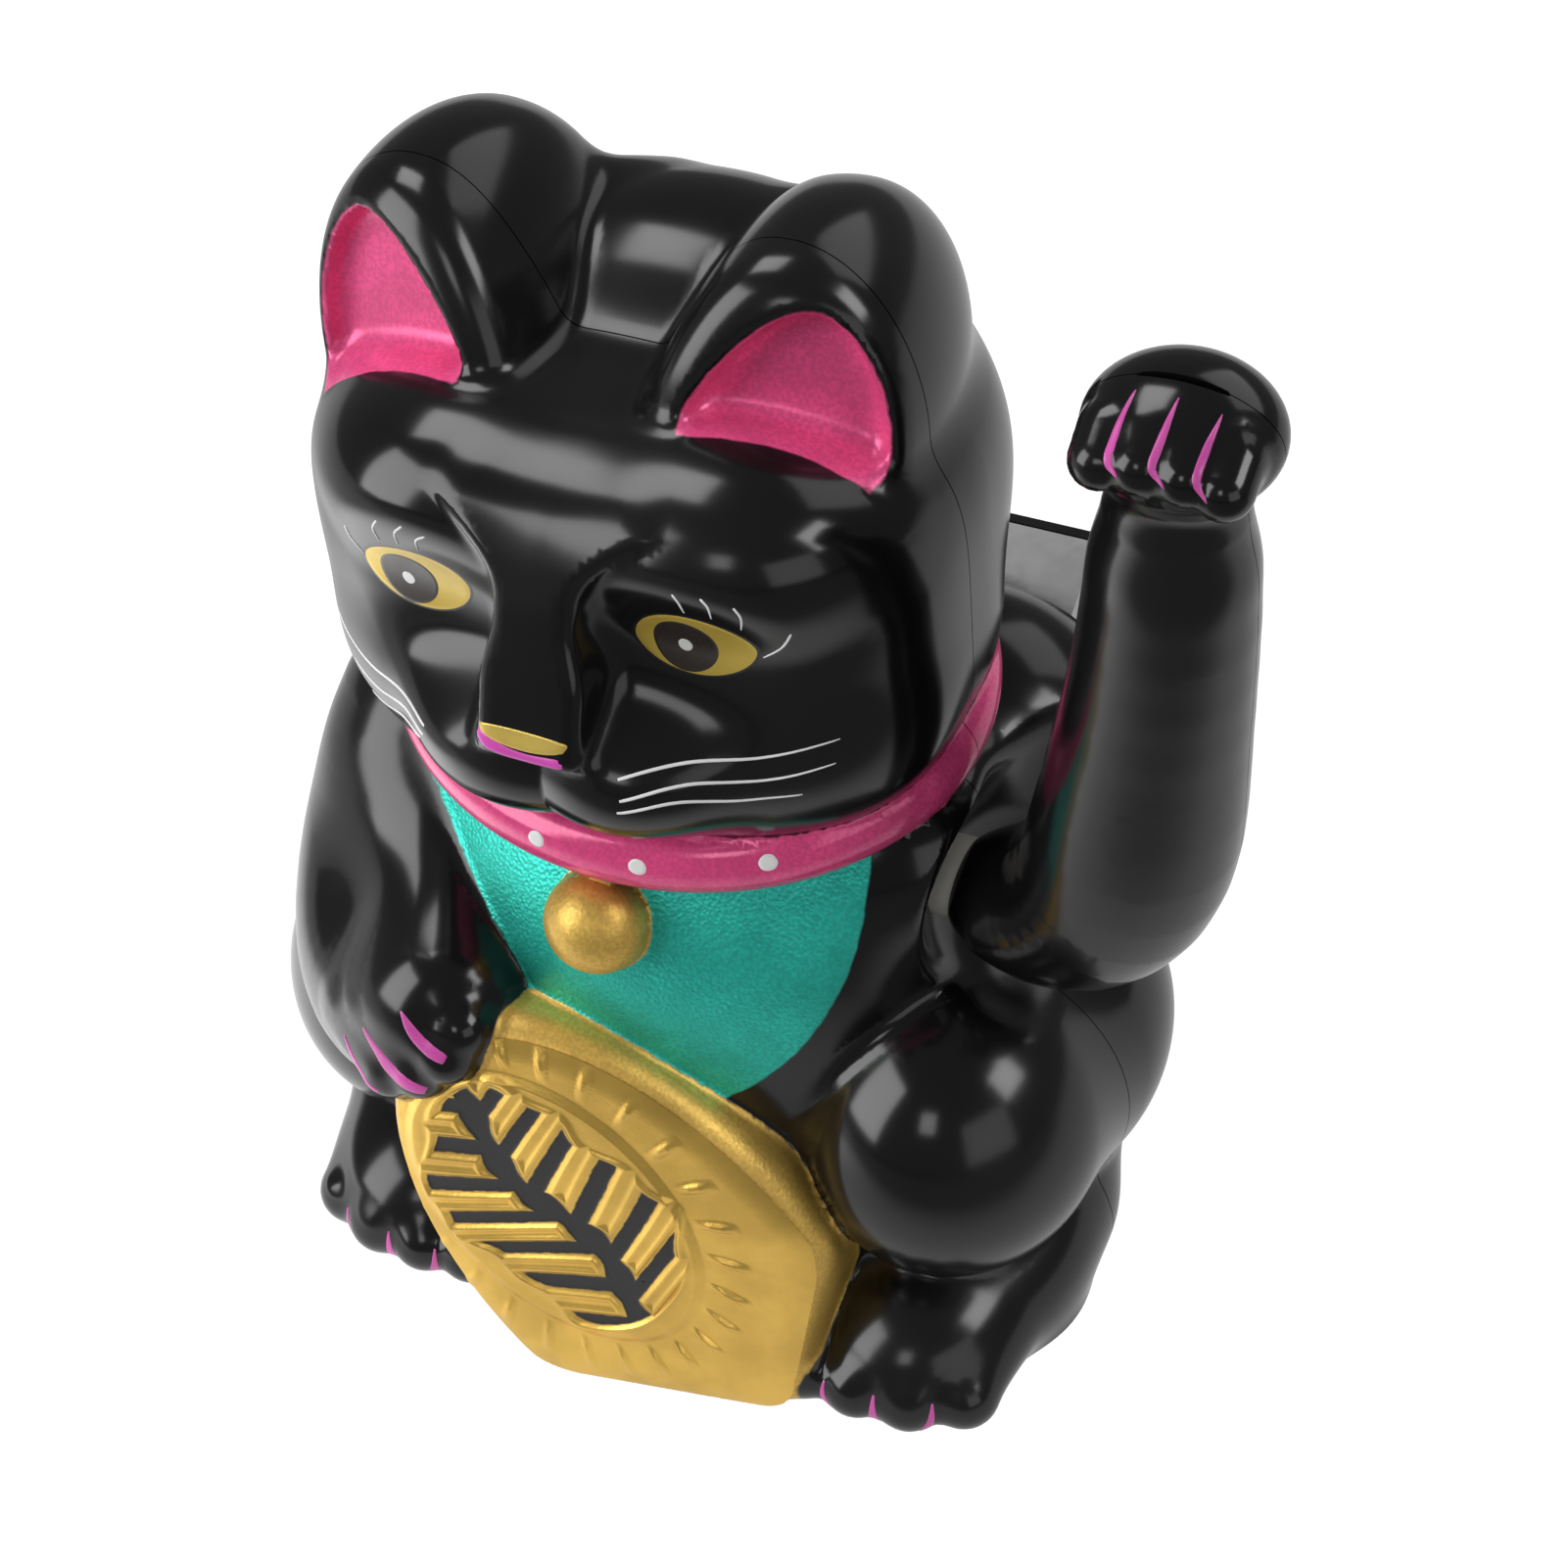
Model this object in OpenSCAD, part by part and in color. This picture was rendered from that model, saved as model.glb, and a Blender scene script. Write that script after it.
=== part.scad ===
// Beckoning cat figurine with a battery-driven waving arm.
// Frame: the cat faces -Y, +X is the side of its raised arm, +Z is up and
// the origin lies on the resting face, under the middle of the body.
// All sizes are in millimetres.

/* [Casing] */
// Wall thickness of the body shells
shell_wall = 1.8; // [1.4:0.1:2.2]
// Wall thickness of the raised arm's halves
arm_wall = 1.4; // [1.0:0.1:1.8]
// Y of the vertical plane on which the body shells part
parting_y = -9; // [-9.5:0.1:-8.5]
// Thickness of the floor ring and of the base plate in it
floor_t = 2.4; // [2.0:0.1:2.6]

/* [Swing] */
// Y of the arm's axle
pivot_y = -10; // [-10.5:0.1:-9.5]
// Height of the arm's axle above the resting face
pivot_z = 52; // [51.5:0.1:52.5]
// Forward lean of the arm at rest, in degrees
arm_lean = 8; // [6:0.5:10]
// Diameter of the axle
axle_d = 2.0; // [1.8:0.1:2.2]
// Radial running clearance between axle and bush
axle_clearance = 0.05; // [0.02:0.01:0.09]
// X of the plane in which the pendulum swings
drive_x = 3; // [2.5:0.1:3.5]
// Distance from the axle to the lower face of the magnet
pendulum_reach = 33.5; // [33:0.1:34]
// Distance of the counterweight's middle behind the lever's middle
trim_offset = 2.35; // [1.5:0.05:2.7]

/* [Cell] */
// Diameter of the AA cell
cell_d = 14.3; // [13.8:0.1:14.4]
// Length of the AA cell over its contact nub
cell_l = 50.5; // [49.5:0.1:50.6]
// Y of the cell's axis
cell_y = 23; // [22.9:0.1:23.1]
// Height of the cell's axis
cell_z = 42.4; // [42.3:0.1:42.5]

/* [Hidden] */

big = 300;              // larger than the figure, for half-space cuts
ball_fn = 24;           // facets of the balls that round the figure's forms
axle_r = axle_d / 2;

// Balls of the figure's forms: [x, y, z, radius], x >= 0 and mirrored
skull_balls = [[14, -12, 84, 17], [12, -12, 92, 16], [10, 4, 92, 15], [8, -15, 78, 13], [9, 2, 80, 14]];
muzzle_balls = [[4, -27.5, 78.5, 8.5], [9, -20, 80, 9]];
nose_balls = [[0, -22, 100, 5], [0, -29, 88, 5.5], [0, -30.5, 84.5, 5.5]];
ear_balls = [[20, -13, 118.3, 5.5], [25, -14, 101, 5.5], [11, -14, 104, 5], [18.5, 0, 114, 6.5],
             [21, 5, 98, 8], [12, 5, 104, 6]];
ear_cup_balls = [[20, -20.5, 115.5, 2.2], [23.5, -22.5, 101, 2.4], [10.5, -22, 105.5, 2.2]];
neck_balls = [[8, -9, 66, 15]];
torso_balls = [[23, -8, 26, 17], [6, -14, 30, 16], [22, 11, 28, 17], [8, -17, 46, 13.5],
               [20, -8, 53, 12.5], [18, 9, 48, 14]];
haunch_balls = [[30, -17, 27, 15.5], [33, -3, 24, 12]];
foot_balls = [[22, -29, 6, 7.5], [31.5, -28, 6, 7.5], [32, -12, 8, 8]];
bell_ball = [0, -28.5, 55, 6.3];

// Balls of the hanging arm, on the -X side only
upper_arm_balls = [[-28, -10, 52, 11], [-31, -15, 36, 10.5], [-30, -17, 26, 10.5]];
forearm_balls = [[-30, -19, 25, 9.5], [-19, -31, 35, 7.5]];

// Pocket in the +X flank that the raised arm's root turns in
pocket_balls = [[35.5, -10, 52, 11.6], [39, -4, 61, 9.5]];

// Raised arm: [x, y, z, radius] from the axle, upright before the lean
arm_balls = [[34, 0, 0, 9], [47, -0.5, 6, 10.5], [50, 0, 26, 7.6], [50.5, 0, 44, 6.4],
             [50, 0, 57, 7.8], [50, -1.5, 63, 7.8]];

// Base outline: round corners at these centres, joined by straight sides
base_front = [26, -12];
base_rear = [20, 15];
base_r = 14;
opening_r = 10;
side_angle = atan2(base_front.x - base_rear.x, base_rear.y - base_front.y);

// Collar round the neck: centre, half widths, tilt and section radius
collar_centre = [0, -7, 68.5];
collar_half = [25, 20];
collar_tilt = 13;
collar_section_r = 3.2;

// Coin: lean and turn of its face, its corners [x, z, radius] and its depth
coin_foot = [0, -42.4, 0];
coin_lean = 9.6;
coin_turn = 10;
coin_corners = [[-16.5, 33, 3], [-9, 42, 3], [11, 34, 4], [19, 20, 4], [16, 4, 4], [-8, 4, 5], [-14, 18, 5]];
coin_depth = 15;

// Screws: self-tapping, with pan heads sunk in round recesses
screw_r = 1.2;
screw_head_r = 2.2;
screw_head_t = 1.2;
screw_recess_r = 2.4;
head_depth = 0.4;
boss_reach = 6.5;       // from a corner's centre, along its diagonal
boss_r = 4.5;
boss_top = 11;
post_at = [27, 18];     // X and Z of the two posts that join the shells
post_r = 3.75;
post_seat_y = -3;       // where the shell screws' heads sit

// Battery box: walls, and the outline of its section across X
box_wall = 1.6;
box_half = 27.6 + box_wall;
box_floor = 33.5;
box_front = 13.9;
box_back = 34.3;
roof_edge = [32, 57.6]; // Y and Z of the roof's rear edge
roof_slope = 28;
chamfer_from = 24.6;
chamfer_angle = 40;
door_t = 1.2;
door_y = 32.2;
door_half = 28.2;
door_gap = 0.1;

// Movement frame and the board on it
cheek_t = 2;
cheek_left = -12;
cheek_right = 16;
frame_foot_t = 2;
frame_low = [-20, -20];
frame_high = [26, 2];
frame_boss_x = [-16, 22];
board_low = [-9.5, -22];
board_high = [15.5, 2];
board_z = 6.4;
board_t = 1.6;
board_top = board_z + board_t;
peg_inset = 2.2;
bobbin_h = 8;
bobbin_flange_r = 8;
bobbin_core_r = 3.5;
bobbin_flange_t = 1;

// Pendulum below the axle
lever_foot_t = 2.5;
magnet_t = 4;
magnet_r = 5;
lever_bar = [3, 5];
weight_size = [10, 11, 12];
weight_drop = 19;

// Lead wires, from the contacts' tabs to the board
wire_r = 0.6;
wire_sides = 8;
tab_y = 11;
plate_y = 19;
contact_x = 27.4;
positive_route = [[27.4, 11, 42.4], [27.4, 9, 42.4], [26, 7, 36], [24, 6, 26], [20, 4, 16], [14, 0.6, 12],
                  [13, 0, 10], [13, 0, 8]];
negative_route = [[-27.4, 11, 42.4], [-27.4, 9, 42.4], [-26, 7, 36], [-22, 6, 26], [-15, 4, 16],
                  [-8.4, 0.6, 12], [-7, 0, 10], [-7, 0, 8]];

// Contact spring: a cone of wire turns pressed against the cell
spring_wire_r = 0.4;
spring_turns = 3;
spring_r = [4.6, 2.6];

// ---- Shared shapes -------------------------------------------------------

module ball(b, inset) {
    translate([b[0], b[1], b[2]]) sphere(r = b[3] - inset, $fn = ball_fn);
}

// One rounded form through balls that are mirrored in the plane x = 0
module mirrored_form(balls, inset) {
    hull() for (b = balls, side = [-1, 1]) ball([side * b[0], b[1], b[2], b[3]], inset);
}

// One rounded form on each side of the plane x = 0
module paired_forms(balls, inset) {
    for (side = [-1, 1]) hull() for (b = balls) ball([side * b[0], b[1], b[2], b[3]], inset);
}

module form_through(balls, inset) {
    hull() for (b = balls) ball(b, inset);
}

function arc(centre, r, from, to, steps = 8) =
    [for (i = [0:steps]) centre + r * [cos(from + (to - from) * i / steps), sin(from + (to - from) * i / steps)]];

// Rounded trapezoid round the four base corners, at a given corner radius
function base_outline(r) = concat(
    arc(base_front, r, -90, side_angle),
    arc(base_rear, r, side_angle, 90),
    arc([-base_rear.x, base_rear.y], r, 90, 180 - side_angle),
    arc([-base_front.x, base_front.y], r, 180 - side_angle, 270));

module base_prism(r, low, high) {
    translate([0, 0, low]) linear_extrude(high - low) polygon(base_outline(r));
}

// Cylinder along X between two values of x, at a place [y, z]
module along_x(at, x0, x1, r, fn = 48) {
    translate([x0, at[0], at[1]]) rotate([0, 90, 0]) cylinder(r = r, h = x1 - x0, $fn = fn);
}

// Cylinder along Y between two values of y, at a place [x, z]
module along_y(at, y0, y1, r, fn = 32) {
    translate([at[0], y0, at[1]]) rotate([-90, 0, 0]) cylinder(r = r, h = y1 - y0, $fn = fn);
}

function corner_boss(corner, side) =
    [side * (corner.x + boss_reach * cos(45)), corner.y + sign(corner.y) * boss_reach * sin(45)];

boss_places = [for (corner = [base_front, base_rear], side = [-1, 1]) corner_boss(corner, side)];

// Pan-head screw from below, its head's lower face at z = head_depth
module screw_up(at, tip) {
    translate([at[0], at[1], head_depth]) {
        cylinder(r = screw_head_r, h = screw_head_t, $fn = 32);
        cylinder(r = screw_r, h = tip - head_depth, $fn = 24);
    }
}

// Clearance hole and head recess for a screw from below
module screw_hole_up(at) {
    translate([at[0], at[1], -1]) cylinder(r = screw_recess_r, h = 1 + head_depth + screw_head_t, $fn = 32);
    translate([at[0], at[1], -1]) cylinder(r = screw_r, h = floor_t + 2, $fn = 24);
}

// Ring of points round p, square to the direction d, which doesn't run along X
function ring(p, d, r, sides) =
    let (n = d / norm(d),
         u = cross(n, [1, 0, 0]) / norm(cross(n, [1, 0, 0])),
         v = cross(n, u))
    [for (i = [0:sides - 1]) p + r * (cos(360 * i / sides) * u + sin(360 * i / sides) * v)];

function heading(path, i) =
    i == 0 ? path[1] - path[0] :
    i == len(path) - 1 ? path[i] - path[i - 1] : path[i + 1] - path[i - 1];

// Round tube swept along a list of points
module tube(path, r, sides) {
    last = len(path) - 1;
    points = [for (i = [0:last]) each ring(path[i], heading(path, i), r, sides)];
    walls = [for (i = [0:last - 1], j = [0:sides - 1])
        [i * sides + j, i * sides + (j + 1) % sides, (i + 1) * sides + (j + 1) % sides, (i + 1) * sides + j]];
    start_cap = [for (j = [sides - 1:-1:0]) j];
    end_cap = [for (j = [0:sides - 1]) last * sides + j];
    polyhedron(points, concat(walls, [start_cap, end_cap]), convexity = 4);
}

// ---- Figure's outer form -------------------------------------------------

module coin_block(inset) {
    translate(coin_foot) rotate([0, 0, coin_turn]) rotate([90 - coin_lean, 0, 0])
        translate([0, 0, inset - coin_depth])
            linear_extrude(coin_depth - 2 * inset)
                hull() for (c = coin_corners) translate([c[0], c[1]]) circle(r = c[2] - inset, $fn = 24);
}

module collar_band(inset) {
    translate(collar_centre) rotate([collar_tilt, 0, 0]) scale([1, collar_half.y / collar_half.x, 1])
        rotate_extrude($fn = 48) translate([collar_half.x, 0]) circle(r = collar_section_r - inset, $fn = 12);
}

module torso(inset) {
    hull() {
        mirrored_form(torso_balls, inset);
        base_prism(base_r - inset, 0, 8);
    }
}

// Everything but the raised arm, drawn in by an inset from the skin
module figure_form(inset) {
    difference() {
        union() {
            mirrored_form(skull_balls, inset);
            mirrored_form(muzzle_balls, inset);
            form_through(nose_balls, inset);
            paired_forms(ear_balls, inset);
            mirrored_form(neck_balls, inset);
            torso(inset);
            paired_forms(haunch_balls, inset);
            paired_forms(foot_balls, inset);
            form_through(upper_arm_balls, inset);
            form_through(forearm_balls, inset);
            coin_block(inset);
            ball(bell_ball, inset);
            collar_band(inset);
        }
        paired_forms(ear_cup_balls, -inset);
        form_through(pocket_balls, -inset);
    }
}

// Posts for the shell screws and bosses for the base screws
module shell_posts() {
    for (side = [-1, 1]) along_y([side * post_at[0], post_at[1]], -60, 60, post_r);
    difference() {
        for (at = boss_places) translate([at[0], at[1], 1]) cylinder(r = boss_r, h = boss_top - 1, $fn = 32);
        base_prism(opening_r, -1, floor_t);
    }
}

module shell_screw_holes() {
    for (side = [-1, 1]) {
        at = [side * post_at[0], post_at[1]];
        along_y(at, post_seat_y - 2 - 14, post_seat_y + 1, screw_r + 0.1, 24);
        along_y(at, post_seat_y, 60, screw_recess_r + 0.4);
    }
    for (at = boss_places) translate([at[0], at[1], 0]) cylinder(r = screw_r + 0.1, h = 10, $fn = 24);
}

// Both shells as one hollow skin, before they are parted
module casing() {
    difference() {
        union() {
            difference() {
                figure_form(0);
                intersection() {
                    figure_form(shell_wall);
                    translate([-big / 2, -big / 2, floor_t]) cube(big);
                }
            }
            intersection() {
                figure_form(shell_wall / 2);
                shell_posts();
            }
        }
        translate([-big / 2, -big / 2, -big]) cube(big);
        base_prism(opening_r, -1, floor_t);
        shell_screw_holes();
        along_x([pivot_y, pivot_z], 15, 30, 3, 32);
        box_envelope();
    }
}

module front_shell() {
    color([0.05, 0.05, 0.06]) intersection() {
        casing();
        translate([-big / 2, parting_y - big, -1]) cube(big);
    }
}

module rear_shell() {
    color([0.09, 0.09, 0.10]) intersection() {
        casing();
        translate([-big / 2, parting_y, -1]) cube(big);
    }
}

// ---- Base ----------------------------------------------------------------

module base_plate() {
    color([0.16, 0.16, 0.17]) difference() {
        base_prism(opening_r, 0, floor_t);
        for (at = boss_places) screw_hole_up(at);
        for (x = frame_boss_x) screw_hole_up([x, pivot_y]);
    }
}

module base_screws() {
    color([0.7, 0.7, 0.72]) for (at = boss_places) screw_up(at, 9.5);
}

module shell_screws() {
    color([0.7, 0.7, 0.72]) for (side = [-1, 1]) {
        at = [side * post_at[0], post_at[1]];
        along_y(at, post_seat_y, post_seat_y + screw_head_t, screw_head_r);
        along_y(at, post_seat_y - 15, post_seat_y, screw_r, 24);
    }
}

// ---- Battery box ---------------------------------------------------------

// Box that the outer skin of the battery box fills, with its roof's ends chamfered
module box_envelope() {
    front_roof_z = roof_edge[1] - (roof_edge[0] - box_front) * tan(roof_slope);
    difference() {
        translate([-box_half, 0, 0]) rotate([90, 0, 90]) linear_extrude(2 * box_half)
            polygon([[box_front, box_floor], [box_back, box_floor], [box_back, roof_edge[1]],
                     roof_edge, [box_front, front_roof_z]]);
        roof_end_cuts();
    }
}

module roof_end_cuts() {
    for (side = [-1, 1])
        translate([side * chamfer_from, roof_edge[0], roof_edge[1]]) rotate([roof_slope, 0, 0])
            rotate([0, side * chamfer_angle, 0]) translate([side > 0 ? 0 : -40, -40, 0]) cube([40, 60, 30]);
}

module box_cavity() {
    inner = box_half - box_wall;
    roof_drop = box_wall / cos(roof_slope);
    front_y = box_front + box_wall;
    difference() {
        translate([-inner, 0, 0]) rotate([90, 0, 90]) linear_extrude(2 * inner)
            polygon([[front_y, box_floor + box_wall], [box_back + 1, box_floor + box_wall],
                     [box_back + 1, roof_edge[1] + 1], [roof_edge[0], roof_edge[1] + 1],
                     [roof_edge[0], roof_edge[1] - roof_drop],
                     [front_y, roof_edge[1] - roof_drop - (roof_edge[0] - front_y) * tan(roof_slope)]]);
        translate([0, 0, -roof_drop]) roof_end_cuts();
    }
}

module battery_box() {
    groove_y = door_y - door_gap;
    color([0.08, 0.08, 0.09]) difference() {
        box_envelope();
        box_cavity();
        translate([-door_half - door_gap, groove_y, box_floor + box_wall])
            cube([2 * (door_half + door_gap), door_t + 2 * door_gap, 40]);
        for (side = [-1, 1])
            translate([side * contact_x - 0.3, box_front - 1, cell_z - 2.1]) cube([0.6, box_wall + 2, 4.2]);
    }
}

module battery_door() {
    color([0.07, 0.07, 0.08]) {
        difference() {
            translate([-door_half, door_y, box_floor + box_wall + door_gap])
                cube([2 * door_half, door_t, roof_edge[1] - box_floor - box_wall - door_gap]);
            for (side = [-1, 1])
                translate([side * chamfer_from, door_y - 1, roof_edge[1]]) rotate([0, side * chamfer_angle, 0])
                    translate([side > 0 ? 0 : -40, 0, 0]) cube([40, door_t + 2, 30]);
        }
        for (i = [0:3])
            translate([-9, door_y + door_t, 47 + 2.4 * i]) cube([18, 0.7, 1.0]);
    }
}

module battery_cell() {
    nub_l = 1.3;
    nub_x = contact_x - 0.2;
    shoulder_x = nub_x - nub_l - 1;
    color([0.25, 0.45, 0.3]) {
        along_x([cell_y, cell_z], nub_x - cell_l, shoulder_x, cell_d / 2);
        translate([shoulder_x, cell_y, cell_z]) rotate([0, 90, 0])
            cylinder(r1 = cell_d / 2, r2 = cell_d / 2 - 1, h = 1, $fn = 48);
        along_x([cell_y, cell_z], nub_x - nub_l, nub_x, 2.75);
    }
}

module contact_plates() {
    color([0.75, 0.75, 0.72]) for (side = [-1, 1]) {
        translate([side * contact_x - 0.2, plate_y, cell_z - 5]) cube([0.4, 9, 8.2]);
        translate([side * contact_x - 0.2, tab_y, cell_z - 2]) cube([0.4, plate_y - tab_y + 0.1, 4]);
    }
}

module contact_spring() {
    seat_x = 0.2 - contact_x + spring_wire_r;
    cell_end_x = contact_x - 0.2 - cell_l - spring_wire_r;
    steps = 12 * spring_turns;
    path = [for (i = [0:steps])
        let (t = i / steps, r = spring_r[0] + (spring_r[1] - spring_r[0]) * t, a = 30 * i)
        [seat_x + (cell_end_x - seat_x) * t, cell_y + r * cos(a), cell_z + r * sin(a)]];
    color([0.8, 0.8, 0.78]) tube(path, spring_wire_r, 6);
}

module positive_lead() {
    color([0.8, 0.1, 0.1]) tube(positive_route, wire_r, wire_sides);
}

module negative_lead() {
    color([0.1, 0.1, 0.1]) tube(negative_route, wire_r, wire_sides);
}

// ---- Movement ------------------------------------------------------------

module cheek(x) {
    base_y = 9;
    head_y = 6;
    color([0.85, 0.85, 0.82]) difference() {
        translate([x, 0, 0]) rotate([90, 0, 90]) linear_extrude(cheek_t)
            polygon(concat([[pivot_y - base_y, floor_t], [pivot_y + base_y, floor_t]],
                           arc([pivot_y, pivot_z], head_y, 0, 180, 12)));
        along_x([pivot_y, pivot_z], x - 1, x + cheek_t + 1, 2);
    }
}

peg_places = [for (x = [board_low.x + peg_inset, board_high.x - peg_inset],
                   y = [board_low.y + peg_inset + 2.5, board_high.y - peg_inset - 3]) [x, y]];

module movement_frame() {
    color([0.85, 0.85, 0.82]) {
        difference() {
            translate([frame_low.x, frame_low.y, floor_t])
                cube([frame_high.x - frame_low.x, frame_high.y - frame_low.y, frame_foot_t]);
            for (x = frame_boss_x) translate([x, pivot_y, 0]) cylinder(r = screw_r, h = 20, $fn = 24);
        }
        for (x = frame_boss_x) translate([x, pivot_y, floor_t]) difference() {
            cylinder(r = 3, h = 8, $fn = 32);
            translate([0, 0, -1]) cylinder(r = screw_r, h = 10, $fn = 24);
        }
        for (at = peg_places) translate([at[0], at[1], floor_t]) {
            cylinder(r = 1.8, h = board_z - floor_t, $fn = 24);
            cylinder(r = 0.9, h = board_top + 0.6 - floor_t, $fn = 24);
        }
        cheek(cheek_left);
        cheek(cheek_right);
    }
}

module frame_screws() {
    color([0.7, 0.7, 0.72]) for (x = frame_boss_x) screw_up([x, pivot_y], 9.5);
}

// Flanged bush through a cheek, its flange on the outer side
module bush(x, outward) {
    flange_t = 0.8;
    difference() {
        union() {
            along_x([pivot_y, pivot_z], x, x + cheek_t, 2);
            along_x([pivot_y, pivot_z], outward > 0 ? x + cheek_t : x - flange_t,
                    outward > 0 ? x + cheek_t + flange_t : x, 3);
        }
        along_x([pivot_y, pivot_z], x - 2, x + cheek_t + 2, axle_r + axle_clearance);
    }
}

module bearing_bushes() {
    color([0.80, 0.62, 0.25]) {
        bush(cheek_left, -1);
        bush(cheek_right, 1);
    }
}

module circuit_board() {
    color([0.10, 0.42, 0.22]) difference() {
        translate([board_low.x, board_low.y, board_z])
            cube([board_high.x - board_low.x, board_high.y - board_low.y, board_t]);
        for (at = peg_places) translate([at[0], at[1], 0]) cylinder(r = 0.95, h = 20, $fn = 24);
    }
}

module coil_bobbin() {
    color([0.92, 0.92, 0.88]) translate([drive_x, pivot_y, board_top]) difference() {
        union() {
            cylinder(r = bobbin_flange_r, h = bobbin_flange_t, $fn = 48);
            cylinder(r = bobbin_core_r, h = bobbin_h, $fn = 48);
            translate([0, 0, bobbin_h - bobbin_flange_t]) cylinder(r = bobbin_flange_r, h = bobbin_flange_t, $fn = 48);
        }
        translate([0, 0, -1]) cylinder(r = 2, h = bobbin_h + 2, $fn = 32);
    }
}

module coil_winding() {
    color([0.72, 0.36, 0.14]) translate([drive_x, pivot_y, board_top + bobbin_flange_t]) difference() {
        cylinder(r = bobbin_flange_r - 0.7, h = bobbin_h - 2 * bobbin_flange_t, $fn = 48);
        translate([0, 0, -1]) cylinder(r = bobbin_core_r, h = bobbin_h, $fn = 48);
    }
}

module transistor() {
    color([0.1, 0.1, 0.1]) translate([-6.9, -14, board_top]) intersection() {
        cylinder(r = 2.4, h = 4.8, $fn = 32);
        translate([-1.2, -3, 0]) cube([4, 6, 5]);
    }
}

module capacitor() {
    color([0.12, 0.2, 0.5]) translate([12.9, -14, board_top]) cylinder(r = 2.5, h = 7, $fn = 32);
}

module resistor() {
    body_z = 1.2;
    color([0.75, 0.62, 0.42]) {
        translate([-2, -0.2, board_top + body_z]) rotate([0, 90, 0]) cylinder(r = 1.15, h = 6, $fn = 24);
        for (x = [-3.5, 7.1]) translate([x, -0.5, board_top]) cube([0.5, 0.5, body_z + 0.3]);
        for (x = [-3.5, 4]) translate([x, -0.5, board_top + body_z - 0.25]) cube([x < 0 ? 1.5 : 3.6, 0.5, 0.5]);
    }
}

// ---- Raised arm and pendulum ---------------------------------------------

// Places the upright arm on its axle and leans it forward
module on_axle() {
    translate([0, pivot_y, pivot_z]) rotate([arm_lean, 0, 0]) children();
}

module arm_form(inset) {
    for (i = [0:len(arm_balls) - 2]) hull() {
        ball(arm_balls[i], inset);
        ball(arm_balls[i + 1], inset);
    }
}

// Hollow arm with two saddles that clamp the hub
module hollow_arm() {
    difference() {
        union() {
            difference() {
                arm_form(0);
                arm_form(arm_wall);
            }
            intersection() {
                arm_form(arm_wall / 2);
                for (x = [29, 35]) translate([x, -15, -15]) cube([2, 30, 30]);
            }
        }
        along_x([0, 0], 20, 38, 4);
    }
}

module arm_front_half() {
    color([0.05, 0.05, 0.06]) on_axle() intersection() {
        hollow_arm();
        translate([-big / 2, -big, -big / 2]) cube(big);
    }
}

module arm_rear_half() {
    color([0.09, 0.09, 0.10]) on_axle() intersection() {
        hollow_arm();
        translate([-big / 2, 0, -big / 2]) cube(big);
    }
}

module arm_hub() {
    color([0.85, 0.85, 0.82]) difference() {
        along_x([pivot_y, pivot_z], 25.4, 38, 3.9);
        along_x([pivot_y, pivot_z], 20, 35, axle_r);
    }
}

module pivot_axle() {
    color([0.75, 0.75, 0.77]) along_x([pivot_y, pivot_z], -14.6, 35, axle_r);
}

module axle_clips() {
    clip_t = 0.8;
    color([0.6, 0.6, 0.62]) for (x = [cheek_left - 1.1 - clip_t, cheek_right + cheek_t + 1.1]) difference() {
        along_x([pivot_y, pivot_z], x, x + clip_t, 2.4);
        along_x([pivot_y, pivot_z], x - 1, x + clip_t + 1, axle_r);
    }
}

module pendulum_lever() {
    foot_z = magnet_t - pendulum_reach;
    color([0.9, 0.9, 0.86]) difference() {
        union() {
            along_x([pivot_y, pivot_z], drive_x - 4, drive_x + 4, 4);
            translate([drive_x - lever_bar[0] / 2, pivot_y - lever_bar[1] / 2, pivot_z + foot_z])
                cube([lever_bar[0], lever_bar[1], -foot_z]);
            translate([drive_x, pivot_y, pivot_z + foot_z]) cylinder(r = magnet_r + 1, h = lever_foot_t, $fn = 48);
        }
        along_x([pivot_y, pivot_z], drive_x - 6, drive_x + 6, axle_r);
    }
}

module pendulum_magnet() {
    color([0.35, 0.35, 0.38]) translate([drive_x, pivot_y, pivot_z - pendulum_reach])
        cylinder(r = magnet_r, h = magnet_t, $fn = 48);
}

module counterweight() {
    color([0.55, 0.56, 0.58]) difference() {
        translate([drive_x - weight_size[0] / 2, pivot_y + trim_offset - weight_size[1] / 2,
                   pivot_z - weight_drop - weight_size[2] / 2]) cube(weight_size);
        translate([drive_x - lever_bar[0] / 2, pivot_y - lever_bar[1] / 2, 0])
            cube([lever_bar[0], lever_bar[1], pivot_z]);
    }
}

front_shell();
rear_shell();
base_plate();
base_screws();
shell_screws();
battery_box();
battery_door();
battery_cell();
contact_plates();
contact_spring();
movement_frame();
frame_screws();
bearing_bushes();
circuit_board();
coil_bobbin();
coil_winding();
transistor();
capacitor();
resistor();
positive_lead();
negative_lead();
arm_front_half();
arm_rear_half();
arm_hub();
pivot_axle();
axle_clips();
pendulum_lever();
pendulum_magnet();
counterweight();
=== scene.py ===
"""Beckoning cat figurine: the visual model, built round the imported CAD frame.

The casing and the raised arm are described as distance fields in millimetres
(the frame's own axes), meshed with surface nets, cut into their real halves
and painted by distance fields that their materials read as attributes.
"""

import math

import bmesh
import bpy
import numpy as np
from mathutils import Matrix, Vector


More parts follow.
